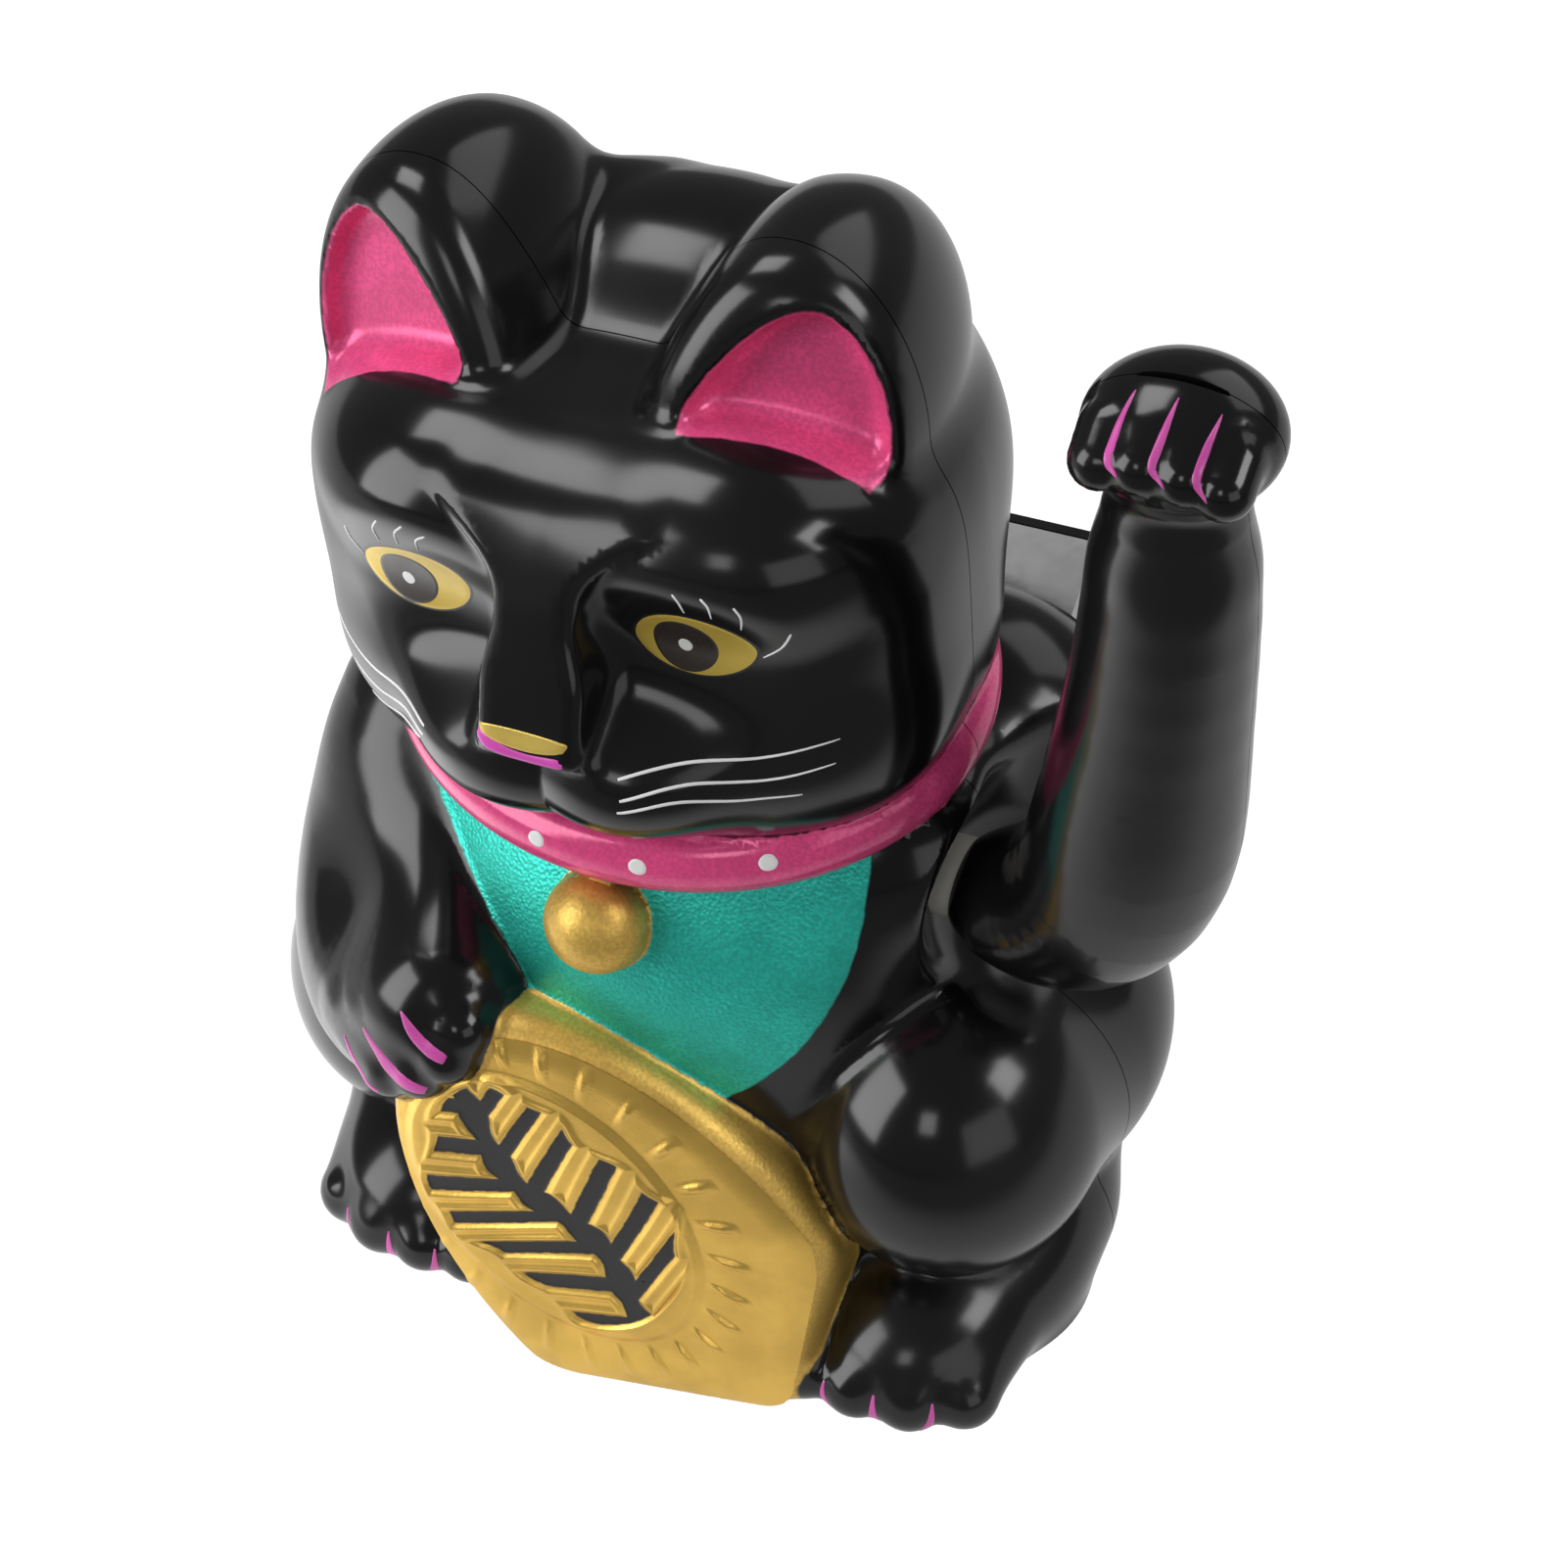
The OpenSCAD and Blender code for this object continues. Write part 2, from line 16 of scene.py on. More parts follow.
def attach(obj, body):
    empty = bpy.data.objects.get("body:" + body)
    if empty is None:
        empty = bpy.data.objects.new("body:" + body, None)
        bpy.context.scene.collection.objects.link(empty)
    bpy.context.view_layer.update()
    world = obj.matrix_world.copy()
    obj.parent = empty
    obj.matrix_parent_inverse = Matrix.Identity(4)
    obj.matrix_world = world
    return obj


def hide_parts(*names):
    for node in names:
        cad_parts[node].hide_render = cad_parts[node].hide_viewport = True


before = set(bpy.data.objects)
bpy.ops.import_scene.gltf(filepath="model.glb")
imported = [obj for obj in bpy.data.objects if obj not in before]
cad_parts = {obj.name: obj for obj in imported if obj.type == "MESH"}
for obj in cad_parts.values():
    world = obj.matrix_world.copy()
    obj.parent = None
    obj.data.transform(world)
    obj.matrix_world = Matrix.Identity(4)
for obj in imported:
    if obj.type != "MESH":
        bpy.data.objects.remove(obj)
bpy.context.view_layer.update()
MM = 0.001


# ---- Camera ------------------------

def make_camera():
    data = bpy.data.cameras.new("camera")
    camera = bpy.data.objects.new("camera", data)
    bpy.context.scene.collection.objects.link(camera)
    right = Vector((0.90837, 0.41191, -0.07201)).normalized()
    forward = Vector((-0.33980, 0.62676, -0.70122)).normalized()
    up = right.cross(forward)
    turn = Matrix((right, up, -forward)).transposed()
    camera.matrix_world = Matrix.Translation(Vector((107.49, -190.33, 259.79)) * MM) @ turn.to_4x4()
    data.sensor_width = 36.0
    data.lens = 71.95
    data.clip_start = 0.01
    bpy.context.scene.camera = camera


make_camera()
bpy.context.scene.view_settings.view_transform = "Standard"


# ---- Distance-field tools ------------------------
# A point set P is a list of three arrays, x, y and z, which may broadcast.

def ellipsoid(P, centre, radii):
    q = [(P[i] - centre[i]) / radii[i] for i in range(3)]
    near = np.sqrt(q[0] ** 2 + q[1] ** 2 + q[2] ** 2) + 1e-6
    slope = np.sqrt((q[0] / radii[0]) ** 2 + (q[1] / radii[1]) ** 2 + (q[2] / radii[2]) ** 2) + 1e-6
    return near * (near - 1.0) / slope


def rounded_block(P, centre, half, p, q):
    """Ellipsoid with fuller corners: power p in plan and q in height."""
    X, Y, Z = [abs(P[i] - centre[i]) / half[i] + 1e-6 for i in range(3)]
    plan = (X ** p + Y ** p) ** (1 / p)
    near = (plan ** q + Z ** q) ** (1 / q)
    share = (plan / near) ** (q - 1)
    slope_x = share * (X / plan) ** (p - 1) / half[0]
    slope_y = share * (Y / plan) ** (p - 1) / half[1]
    slope_z = (Z / near) ** (q - 1) / half[2]
    return (near - 1.0) / np.sqrt(slope_x ** 2 + slope_y ** 2 + slope_z ** 2)


def bone(P, a, b, ra, rb):
    """Round bar from a to b whose radius runs from ra to rb."""
    a, b = np.array(a, float), np.array(b, float)
    axis = b - a
    t = sum((P[i] - a[i]) * axis[i] for i in range(3)) / axis.dot(axis)
    t = np.clip(t, 0.0, 1.0)
    gap = sum((P[i] - a[i] - t * axis[i]) ** 2 for i in range(3))
    return np.sqrt(gap) - (ra + (rb - ra) * t)


def smooth_path(points, count):
    """Catmull-Rom curve through the points."""
    p = np.array(points, float)
    p = np.concatenate([[2 * p[0] - p[1]], p, [2 * p[-1] - p[-2]]])
    t = np.linspace(0, len(p) - 3 - 1e-9, count)
    i = t.astype(int)
    f = (t - i)[:, None]
    a, b, c, d = p[i], p[i + 1], p[i + 2], p[i + 3]
    square = 2 * a - 5 * b + 4 * c - d
    cube = 3 * b - a - 3 * c + d
    return 0.5 * (2 * b + (c - a) * f + square * f ** 2 + cube * f ** 3)


def limb(P, stations, count, k=1.4):
    """Smooth limb through stations of x, y, z and radius: its short bones are blended evenly."""
    path = smooth_path(stations, count)
    step = np.linalg.norm(np.diff(path[:, :3], axis=0), axis=1).mean()
    r = path[:, 3].mean()
    crowd = 1 + 2 * sum(math.exp((r - math.hypot(r, (n + 0.5) * step)) / k) for n in range(4))
    total = 0
    for a, b in zip(path[:-1], path[1:]):
        near = -bone(P, a[:3], b[:3], a[3], b[3]) / k
        total = total + np.exp(np.maximum(near, -60))
    return -k * np.log(total / crowd + 1e-30)


def join(a, b, k):
    """Union with a fillet of about k."""
    h = np.maximum(k - abs(a - b), 0.0) / k
    return np.minimum(a, b) - h * h * k * 0.25


def carve(a, b, k):
    """a without b, with an edge rounded by about k."""
    return -join(-a, b, k)


def both(a, b, k):
    """Where a and b overlap, with an edge rounded by about k."""
    return -join(-a, -b, k)


def turned(P, axis, degrees, about=(0.0, 0.0, 0.0)):
    """P in a frame that is turned by an angle about one axis."""
    i, j = [(1, 2), (2, 0), (0, 1)][axis]
    c, s = math.cos(math.radians(degrees)), math.sin(math.radians(degrees))
    u, v = P[i] - about[i], P[j] - about[j]
    out = list(P)
    out[i] = about[i] + c * u + s * v
    out[j] = about[j] - s * u + c * v
    return out


def mirrored(P):
    return [abs(P[0]), P[1], P[2]]


# ---- Figure's forms ------------------------

PARTING_Y = -9.0
PIVOT_Y = -10.0
PIVOT_Z = 52.0
ARM_LEAN = 8.0
WALL = 1.8
COLLAR = dict(centre=(0.3, -7.0, 68.0), half=(26.0, 20.8), tilt=13.0)
COIN = dict(foot=(0.0, -42.2, 0.0), lean=9.6, turn=10.0, centre=(5.1, 16.1), half=(33.0, 19.3), slant=-54.0)


def head_field(P):
    M = mirrored(P)
    d = rounded_block(P, (-0.9, -8.0, 84.0), (29.6, 20.6, 20.5), 2.8, 4.0)
    d = join(d, ellipsoid(P, (-1.0, 4, 88.5), (27.3, 17.5, 22.5)), 4)
    d = join(d, rounded_block(P, (-0.2, -16.0, 95.5), (25.8, 12.6, 8.8), 2.3, 2.3), 3)
    d = join(d, ellipsoid(M, (12.5, -20.5, 97.0), (10.5, 8.8, 7.4)), 4)
    d = join(d, ellipsoid(P, (0, -15, 76.8), (25.8, 17.5, 11.4)), 5)
    d = join(d, ellipsoid(M, (5.0, -26.0, 77.6), (10.0, 9.8, 7.6)), 4)
    d = join(d, bone(M, (13.0, 5.5, 106.3), (7.5, 9.5, 103.5), 4.4, 4.8), 2.5)
    sockets = ellipsoid(M, (12.5, -35.2, 90), (10.0, 7.2, 7.0))
    d = carve(d, sockets, 5)
    return join(d, nose_field(P), 2.4)


def nose_line(z):
    """Y of the nose's front at a height."""
    return -36.2 + 0.36 * (z - 83.0) + 0.012 * np.maximum(z - 93.0, 0.0) ** 2


def nose_field(P):
    x, y, z = P
    fall = np.clip((93.5 - z) / 6.0, 0, 1)
    half = 3.7 + 1.1 * fall ** 2 * (3 - 2 * fall) + 0.10 * np.maximum(z - 94.5, 0.0) ** 2
    side = abs(x) - np.minimum(half, 9.0)
    front = (nose_line(z) - y) / 1.063
    d = both(side, front, 1.5)
    d = both(d, 81.7 - z + 0.15 * (y + 36), 1.0)
    d = both(d, z - 103.0, 5.0)
    return both(d, y + 22.0, 1.0)


EAR_CENTRE = (17.0, -6.4, 102.8)


def ear_axes(P):
    """P with both ears on one side, and its distance in front of the ear's rim plane."""
    M = [abs(P[0] + 1.9), P[1], P[2] + 0.03 * (P[0] + 1.9)]
    return M, (-45.9 + 0.236 * M[0] + 0.236 * M[2] - M[1]) / 1.055


def ear_field(P):
    M, front = ear_axes(P)
    inward = EAR_CENTRE[0] - M[0]
    wide = [EAR_CENTRE[0] - np.where(inward > 0, 0.80 * inward, inward), M[1], M[2]]
    d = ellipsoid(wide, EAR_CENTRE, (10.7, 19.4, 16.5))
    inner = -0.88 * (M[0] - 4.3) + 0.47 * (M[2] - 106.5)
    return both(both(d, inner, 4.0), front, 3.5)


def ear_cup_field(P):
    M, front = ear_axes(P)
    inset = ellipsoid(M, EAR_CENTRE, (9.3, 19.5, 14.2))
    inset = both(inset, -0.72 * (M[0] - 9.5) + 0.69 * (M[2] - 107.5), 4.0)
    return both(inset, -3.6 - front, 3.0)


def ear_paint_field(P):
    _, front = ear_axes(P)
    return np.maximum(ear_cup_field(P), front - 0.2)


def ellipse(u, v, half_u, half_v):
    a, b = u / half_u, v / half_v
    near = np.sqrt(a ** 2 + b ** 2) + 1e-6
    return near * (near - 1.0) / (np.sqrt((a / half_u) ** 2 + (b / half_v) ** 2) + 1e-6)


def collar_axes(P):
    """Distance outside the collar's ring, and height over its tilted plane."""
    Q = turned(P, 0, COLLAR["tilt"], COLLAR["centre"])
    out = ellipse(Q[0], Q[1] - COLLAR["centre"][1], *COLLAR["half"])
    return out, Q[2] - COLLAR["centre"][2]


def collar_field(P):
    out, up = collar_axes(P)
    return np.sqrt((out / 2.9) ** 2 + (up / 3.5) ** 2) * 3.1 - 3.1


def base_field(P):
    """Rounded trapezoid that the body stands on."""
    x, y = abs(P[0]), P[1]
    side = math.atan2(6.0, 27.0)
    wall = (x - 26.0) * math.cos(side) + (y + 12.0) * math.sin(side)
    u = np.maximum(wall, 0.0)
    front = -12.0 - y
    rear = y - 15.0
    v = np.maximum(np.maximum(front, rear), 0.0)
    inside = np.minimum(np.maximum(wall, np.maximum(front, rear)), 0.0)
    return np.sqrt(u ** 2 + v ** 2) + inside - 14.0


def torso_field(P):
    M = mirrored(P)
    hips = ellipsoid(P, (0, -1, 21), (40.5, 30, 28))
    chest = ellipsoid(P, (0, -9, 44), (29, 21.5, 24))
    d = join(hips, chest, 9)
    d = join(d, ellipsoid(P, (0, 6, 42), (30, 20.5, 24)), 7)
    d = join(d, both(base_field(P), P[2] - 12.0, 6), 8)
    d = join(d, ellipsoid(M, (20, -8, 55), (12.5, 12, 11)), 5)
    d = join(d, ellipsoid(M, (21, 7, 54), (16, 13.5, 14.0)), 4)
    return join(d, ellipsoid(P, (0, -7, 67), (21, 16.5, 9)), 3)


def haunch_field(P):
    M = mirrored(P)
    d = ellipsoid(M, (28.2, -16.5, 27.0), (14.6, 16, 16.5))
    return join(d, ellipsoid(M, (30.5, -2, 24), (13.4, 17, 15.5)), 4)


def foot_field(P):
    M = mirrored(P)
    d = ellipsoid(M, (27.5, -21, 4.5), (11.5, 15.2, 9.0))
    d = join(d, ellipsoid(M, (30.0, -10, 6), (11.5, 14, 10)), 5)
    for x, y in ((19.0, -33.6), (24.2, -34.0), (29.5, -33.6), (34.3, -31.4)):
        d = join(d, bone(M, (x, y + 8, 5.2), (x, y, 3.2), 3.9, 3.6), 1.4)
    return d


# Stations from shoulder to paw (x, y, z and radius), and each toe's root, tip and tip radius
HANGING_STATIONS = (
    (-26.4, -8.5, 56.0, 11.8), (-28.4, -12.0, 48.5, 10.9), (-29.4, -16.5, 41.5, 10.6),
    (-28.4, -22.0, 37.0, 9.9), (-25.2, -27.0, 35.7, 9.2), (-21.0, -30.8, 37.7, 8.4),
    (-17.0, -33.0, 41.2, 7.1),
)
HANGING_TOES = (
    ((-17.0, -33.0, 43.6), (-12.4, -36.2, 43.4), 3.0),
    ((-19.0, -33.5, 42.0), (-13.6, -37.4, 40.6), 3.1),
    ((-22.0, -34.0, 40.5), (-16.4, -38.0, 38.0), 3.1),
    ((-25.0, -33.5, 39.0), (-19.8, -38.0, 36.6), 3.0),
)


def hanging_arm_field(P):
    d = limb(P, HANGING_STATIONS, 14)
    d = join(d, bone(P, (-24.5, -13.0, 51.0), (-16.0, -30.8, 43.0), 8.4, 6.6), 6)
    for root, tip, r in HANGING_TOES:
        d = join(d, bone(P, root, tip, r + 0.6, r), 1.3)
    return d


def coin_axes(P):
    """Coordinates on the coin's face: along it, up it and out of it."""
    Q = [P[i] - COIN["foot"][i] for i in range(3)]
    Q = turned(Q, 2, COIN["turn"])
    Q = turned(Q, 0, -COIN["lean"])
    u, v = Q[0] - COIN["centre"][0], Q[2] - COIN["centre"][1]
    c, s = math.cos(math.radians(COIN["slant"])), math.sin(math.radians(COIN["slant"]))
    return c * u + s * v, -s * u + c * v, -Q[1]


def coin_field(P):
    u, v, w = coin_axes(P)
    rim = ellipse(u, v, *COIN["half"])
    foot_side = P[0] - 19.4 - 0.155 * P[2]
    rim = both(both(rim, foot_side, 3.0), -P[2], 3.0)
    return both(both(rim, w, 4.0), -w - 14.0, 1.0)


def bell_field(P):
    return ellipsoid(P, (-0.4, -29.0, 54.9), (4.9, 4.6, 4.9))


def pocket_field(P):
    d = ellipsoid(P, (36, -10, 52), (12, 12, 12))
    return join(d, ellipsoid(P, (39, -4, 61), (9.5, 9.5, 9.5)), 4)


def figure_field(P):
    body = join(torso_field(P), haunch_field(P), 1.8)
    body = join(body, foot_field(P), 1.6)
    body = join(body, coin_field(P), 1.0)
    body = join(body, hanging_arm_field(P), 1.2)
    head = join(head_field(P), carve(ear_field(P), ear_cup_field(P), 1.6), 1.6)
    d = join(body, head, 1.2)
    d = join(d, collar_field(P), 0.6)
    d = join(d, bell_field(P), 0.5)
    return carve(d, pocket_field(P), 1.6)


def arm_frame(P):
    """P in the raised arm's own upright frame, from its axle."""
    Q = turned(P, 0, ARM_LEAN, (0.0, PIVOT_Y, PIVOT_Z))
    return [Q[0], Q[1] - PIVOT_Y, Q[2] - PIVOT_Z]


ARM_STATIONS = (
    (31.6, -0.2, -0.6, 6.9), (36.4, -0.4, 0.4, 7.3), (40.4, -0.5, 3.8, 8.3), (43.3, -0.5, 9.5, 9.0),
    (45.0, -0.3, 17.0, 9.1), (46.3, 0.0, 26.0, 8.5), (47.7, 0.0, 36.0, 7.8), (48.8, 0.0, 46.0, 7.3),
    (49.6, 0.0, 57.0, 7.0),
)


def arm_field(P):
    Q = arm_frame(P)
    d = limb(Q, ARM_STATIONS, 15)
    d = join(d, ellipsoid(Q, (50.3, 0.2, 65.0), (7.8, 6.7, 5.6)), 3)
    for x, z in ((45.7, 66.2), (48.8, 66.6), (52.2, 66.4), (55.1, 65.8)):
        d = join(d, bone(Q, (x, -2.8, z + 0.4), (x, -4.9, z - 0.4), 2.4, 2.35), 0.7)
    return d


# ---- Meshing ------------------------

def gradient(field, points, reach=0.02):
    """Value, unit gradient and gradient's size of a field at an (n, 3) array of points."""
    value = field(list(points.T))
    slope = np.empty_like(points)
    for i in range(3):
        for sign in (1, -1):
            moved = points.copy()
            moved[:, i] += sign * reach
            if sign > 0:
                slope[:, i] = field(list(moved.T))
            else:
                slope[:, i] -= field(list(moved.T))
    slope /= 2 * reach
    size = np.linalg.norm(slope, axis=1, keepdims=True) + 1e-9
    return value, slope / size, size[:, 0]


def settle(field, points, level=0.0, rounds=3, reach=0.02):
    """Moves points onto the surface where the field equals level."""
    for _ in range(rounds):
        value, normal, size = gradient(field, points, reach)
        step = np.clip((value - level) / np.maximum(size, 0.3), -0.6, 0.6)
        points = points - normal * step[:, None]
    return points


def surface_net(field, low, high, step, level=0.0):
    """Closed quad mesh of the surface where the field equals level."""
    axes = [np.arange(low[i], high[i] + step, step) for i in range(3)]
    P = [axes[0][:, None, None], axes[1][None, :, None], axes[2][None, None, :]]
    D = np.broadcast_to(field(P) - level, [len(a) for a in axes]).astype(np.float32)
    inside = D < 0
    cells = tuple(n - 1 for n in D.shape)
    total = np.zeros(cells + (3,), np.float32)
    count = np.zeros(cells, np.int16)
    quads = []
    for axis in range(3):
        a = [slice(None)] * 3
        b = [slice(None)] * 3
        a[axis], b[axis] = slice(0, -1), slice(1, None)
        da, db = D[tuple(a)], D[tuple(b)]
        cross = (inside[tuple(a)] != inside[tuple(b)])
        where = np.argwhere(cross)
        fa, fb = da[cross], db[cross]
        t = fa / (fa - fb)
        spot = where.astype(np.float32)
        spot[:, axis] += t
        u, v = (axis + 1) % 3, (axis + 2) % 3
        corner = []
        for du, dv in ((0, 0), (-1, 0), (-1, -1), (0, -1)):
            cell = where.copy()
            cell[:, u] += du
            cell[:, v] += dv
            corner.append(cell)
            np.add.at(total, tuple(cell.T), spot)
            np.add.at(count, tuple(cell.T), 1)
        ring = np.stack([np.ravel_multi_index(tuple(c.T), cells) for c in corner], 1)
        flip = fa > 0
        ring[~flip] = ring[~flip][:, ::-1]
        quads.append(ring)
    used = count.ravel() > 0
    number = np.cumsum(used) - 1
    points = (total.reshape(-1, 3)[used] / count.ravel()[used][:, None]).astype(float)
    points = points * step + np.array(low)
    faces = number[np.concatenate(quads)][:, ::-1]
    return points, faces


def relax(field, points, faces, level=0.0, rounds=3):
    """Evens the mesh out along the surface and settles it on the field again."""
    edges = np.concatenate([faces[:, [i, (i + 1) % 4]] for i in range(4)])
    for _ in range(rounds):
        total = np.zeros_like(points)
        count = np.zeros(len(points))
        for i, j in ((0, 1), (1, 0)):
            np.add.at(total, edges[:, i], points[edges[:, j]])
            np.add.at(count, edges[:, i], 1)
        points = 0.5 * points + 0.5 * total / count[:, None]
        points = settle(field, points, level, 2)
    return points


def linked(name, data):
    """Object with this data, in the scene."""
    made = bpy.data.objects.new(name, data)
    bpy.context.scene.collection.objects.link(made)
    return made


def mesh_object(name, points, faces, smooth=True):
    mesh = bpy.data.meshes.new(name)
    corners = [tuple(p) for p in np.asarray(points) * MM]
    mesh.from_pydata(corners, [], [tuple(int(i) for i in f) for f in faces])
    mesh.update()
    mesh.polygons.foreach_set("use_smooth", [smooth] * len(mesh.polygons))
    return linked(name, mesh)


def object_from(bm, name):
    """Object with the mesh in bm, which is freed."""
    mesh = bpy.data.meshes.new(name)
    bm.to_mesh(mesh)
    bm.free()
    return linked(name, mesh)


def box_object(low, high):
    bm = bmesh.new()
    bmesh.ops.create_cube(bm, size=1.0)
    for v in bm.verts:
        v.co = [(low[i] + high[i]) / 2 * MM + v.co[i] * (high[i] - low[i]) * MM for i in range(3)]
    return object_from(bm, "cutter")


def cut(target, cutter, operation="DIFFERENCE"):
    """Applies one boolean to the target and removes the cutter."""
    modifier = target.modifiers.new("cut", "BOOLEAN")
    modifier.operation = operation
    modifier.solver = "MANIFOLD"
    modifier.object = cutter
    result = bpy.data.meshes.new_from_object(target.evaluated_get(bpy.context.evaluated_depsgraph_get()))
    target.modifiers.clear()
    old = target.data
    target.data = result
    bpy.data.meshes.remove(old)
    bpy.data.objects.remove(cutter)
    return target


def copy_of(source):
    return linked("copy", source.data.copy())


def points_of(obj):
    co = np.empty(len(obj.data.vertices) * 3)
    obj.data.vertices.foreach_get("co", co)
    return co.reshape(-1, 3) / MM


# ---- Materials ------------------------

class Shader:
    """A material's node tree with short calls for the nodes used here."""

    def __init__(self, name):
        self.material = bpy.data.materials.new(name)
        self.material.use_nodes = True
        self.tree = self.material.node_tree
        self.tree.nodes.clear()
        self.output = self.tree.nodes.new("ShaderNodeOutputMaterial")
        self.surface = self.tree.nodes.new("ShaderNodeBsdfPrincipled")
        self.tree.links.new(self.surface.outputs[0], self.output.inputs[0])
        self.place = self.tree.nodes.new("ShaderNodeTexCoord").outputs["Object"]

    def put(self, socket, value):
        if hasattr(value, "is_output"):
            self.tree.links.new(value, socket)
        elif isinstance(value, tuple) and len(value) == 3 and len(socket.default_value) == 4:
            socket.default_value = value + (1.0,)
        else:
            socket.default_value = value

    def set(self, name, value):
        self.put(self.surface.inputs[name], value)

    def noise(self, scale, detail=2.0, stretch=(1.0, 1.0, 1.0)):
        """Noise with features of about 1 / scale metres."""
        mapping = self.tree.nodes.new("ShaderNodeMapping")
        mapping.inputs["Scale"].default_value = stretch
        self.put(mapping.inputs["Vector"], self.place)
        node = self.tree.nodes.new("ShaderNodeTexNoise")
        node.inputs["Scale"].default_value = scale
        node.inputs["Detail"].default_value = detail
        self.put(node.inputs["Vector"], mapping.outputs[0])
        return node.outputs["Fac"]

    def cells(self, scale):
        node = self.tree.nodes.new("ShaderNodeTexVoronoi")
        node.inputs["Scale"].default_value = scale
        self.put(node.inputs["Vector"], self.place)
        return node.outputs["Distance"]

    def attribute(self, name):
        node = self.tree.nodes.new("ShaderNodeAttribute")
        node.attribute_name = name
        return node.outputs["Fac"]

    def ramp(self, value, low, high, to_low=0.0, to_high=1.0):
        node = self.tree.nodes.new("ShaderNodeMapRange")
        node.interpolation_type = "SMOOTHSTEP"
        names = ("Value", "From Min", "From Max", "To Min", "To Max")
        for name, number in zip(names, (value, low, high, to_low, to_high)):
            self.put(node.inputs[name], number)
        return node.outputs[0]

    def mix(self, share, a, b):
        """a where share is 0 and b where it is 1, for colours and numbers alike."""
        colour = isinstance(a, tuple) or isinstance(b, tuple) or getattr(a, "type", "") == "RGBA"
        node = self.tree.nodes.new("ShaderNodeMix")
        node.data_type = "RGBA" if colour else "FLOAT"
        sockets = [s for s in node.inputs if s.enabled]
        self.put(sockets[0], share)
        self.put(sockets[1], a)
        self.put(sockets[2], b)
        return [s for s in node.outputs if s.enabled][0]

    def maths(self, kind, a, b=0.0):
        node = self.tree.nodes.new("ShaderNodeMath")
        node.operation = kind
        self.put(node.inputs[0], a)
        self.put(node.inputs[1], b)
        return node.outputs[0]

    def bump(self, height, depth_mm, strength=1.0):
        node = self.tree.nodes.new("ShaderNodeBump")
        node.inputs["Strength"].default_value = strength
        node.inputs["Distance"].default_value = depth_mm * MM
        self.put(node.inputs["Height"], height)
        self.put(self.surface.inputs["Normal"], node.outputs[0])


def scaled(colour, share):
    return tuple(min(1.0, c * share) for c in colour)


def finish_material(name, colour, roughness, metallic=0.0, grain=700.0, coat=0.0, stretch=(1, 1, 1)):
    """One finish: its colour and roughness vary a little, over a fine grain."""
    s = Shader(name)
    broad = s.noise(90.0, 3.0, stretch)
    fine = s.noise(grain, 3.0, stretch)
    tone = s.ramp(broad, 0.25, 0.75)
    s.set("Base Color", s.mix(tone, scaled(colour, 0.85), scaled(colour, 1.15)))
    both_grains = s.maths("ADD", s.maths("MULTIPLY", fine, 0.5), s.maths("MULTIPLY", broad, 0.5))
    s.set("Roughness", s.ramp(both_grains, 0.3, 0.7, roughness * 0.85, roughness * 1.2))
    s.set("Metallic", metallic)
    s.set("Coat Weight", coat)
    s.set("Coat Roughness", 0.08)
    s.bump(fine, 0.01)
    return s.material


BLACK = (0.0055, 0.0055, 0.006)
CASING_ROUGHNESS = 0.17
EAR_PINK = (0.82, 0.095, 0.28)
COLLAR_PINK = (0.86, 0.085, 0.27)
CLAW_PINK = (0.56, 0.075, 0.35)
TEAL = (0.035, 0.60, 0.48)
GOLD = (0.72, 0.46, 0.10)


def casing_material(name):
    """Moulded black plastic with sprayed paint where the mesh's paint fields say."""
    s = Shader(name)
    broad = s.noise(45.0, 2.0)
    fine = s.noise(1400.0, 3.0)
    grain = s.cells(2600.0)
    dust = s.ramp(s.noise(2300.0, 4.0), 0.70, 0.85)
    colour = s.mix(s.ramp(broad, 0.3, 0.7), scaled(BLACK, 0.8), scaled(BLACK, 1.25))
    colour = s.mix(s.maths("MULTIPLY", dust, 0.02), colour, (0.4, 0.4, 0.42))
    rough = s.ramp(broad, 0.3, 0.7, CASING_ROUGHNESS * 0.85, CASING_ROUGHNESS * 1.2)
    metallic = 0.0
    height = s.maths("MULTIPLY", fine, 0.05)
    speckle = s.ramp(s.noise(2600.0, 2.0), 0.40, 0.62, 0.60, 1.0)
    # Attribute, paint's edge and its softness in mm, colour, roughness, metal and grain
    layers = (
        ("ear_pink", 0.55, 0.15, EAR_PINK, 0.30, 0.20, 0.5),
        ("bib", 0.0, 0.15, TEAL, 0.40, 0.65, 3.0),
        ("collar", 0.34, 0.10, COLLAR_PINK, 0.16, 0.10, 0.2),
        ("gold", 0.30, 0.10, GOLD, 0.44, 0.60, 0.9),
    )
    for attribute, edge, soft, paint, paint_rough, paint_metal, paint_grain in layers:
        wobble = s.ramp(s.noise(500.0, 2.0), 0.3, 0.7, -0.06, 0.06)
        distance = s.maths("ADD", s.attribute(attribute), wobble)
        mask = s.ramp(distance, edge - soft, edge + soft, 1.0, 0.0)
        shade = s.mix(s.ramp(s.noise(160.0, 3.0), 0.3, 0.7), scaled(paint, 0.85), scaled(paint, 1.12))
        shade = s.mix(speckle, scaled(paint, 0.6), shade)
        colour = s.mix(mask, colour, shade)
        rough = s.mix(mask, rough, paint_rough)
        metallic = s.mix(mask, metallic, paint_metal)
        height = s.mix(mask, height, s.maths("MULTIPLY", grain, paint_grain))
    s.set("Base Color", colour)
    s.set("Roughness", rough)
    s.set("Metallic", metallic)
    s.set("IOR", 1.46)
    s.bump(height, 0.02)
    return s.material


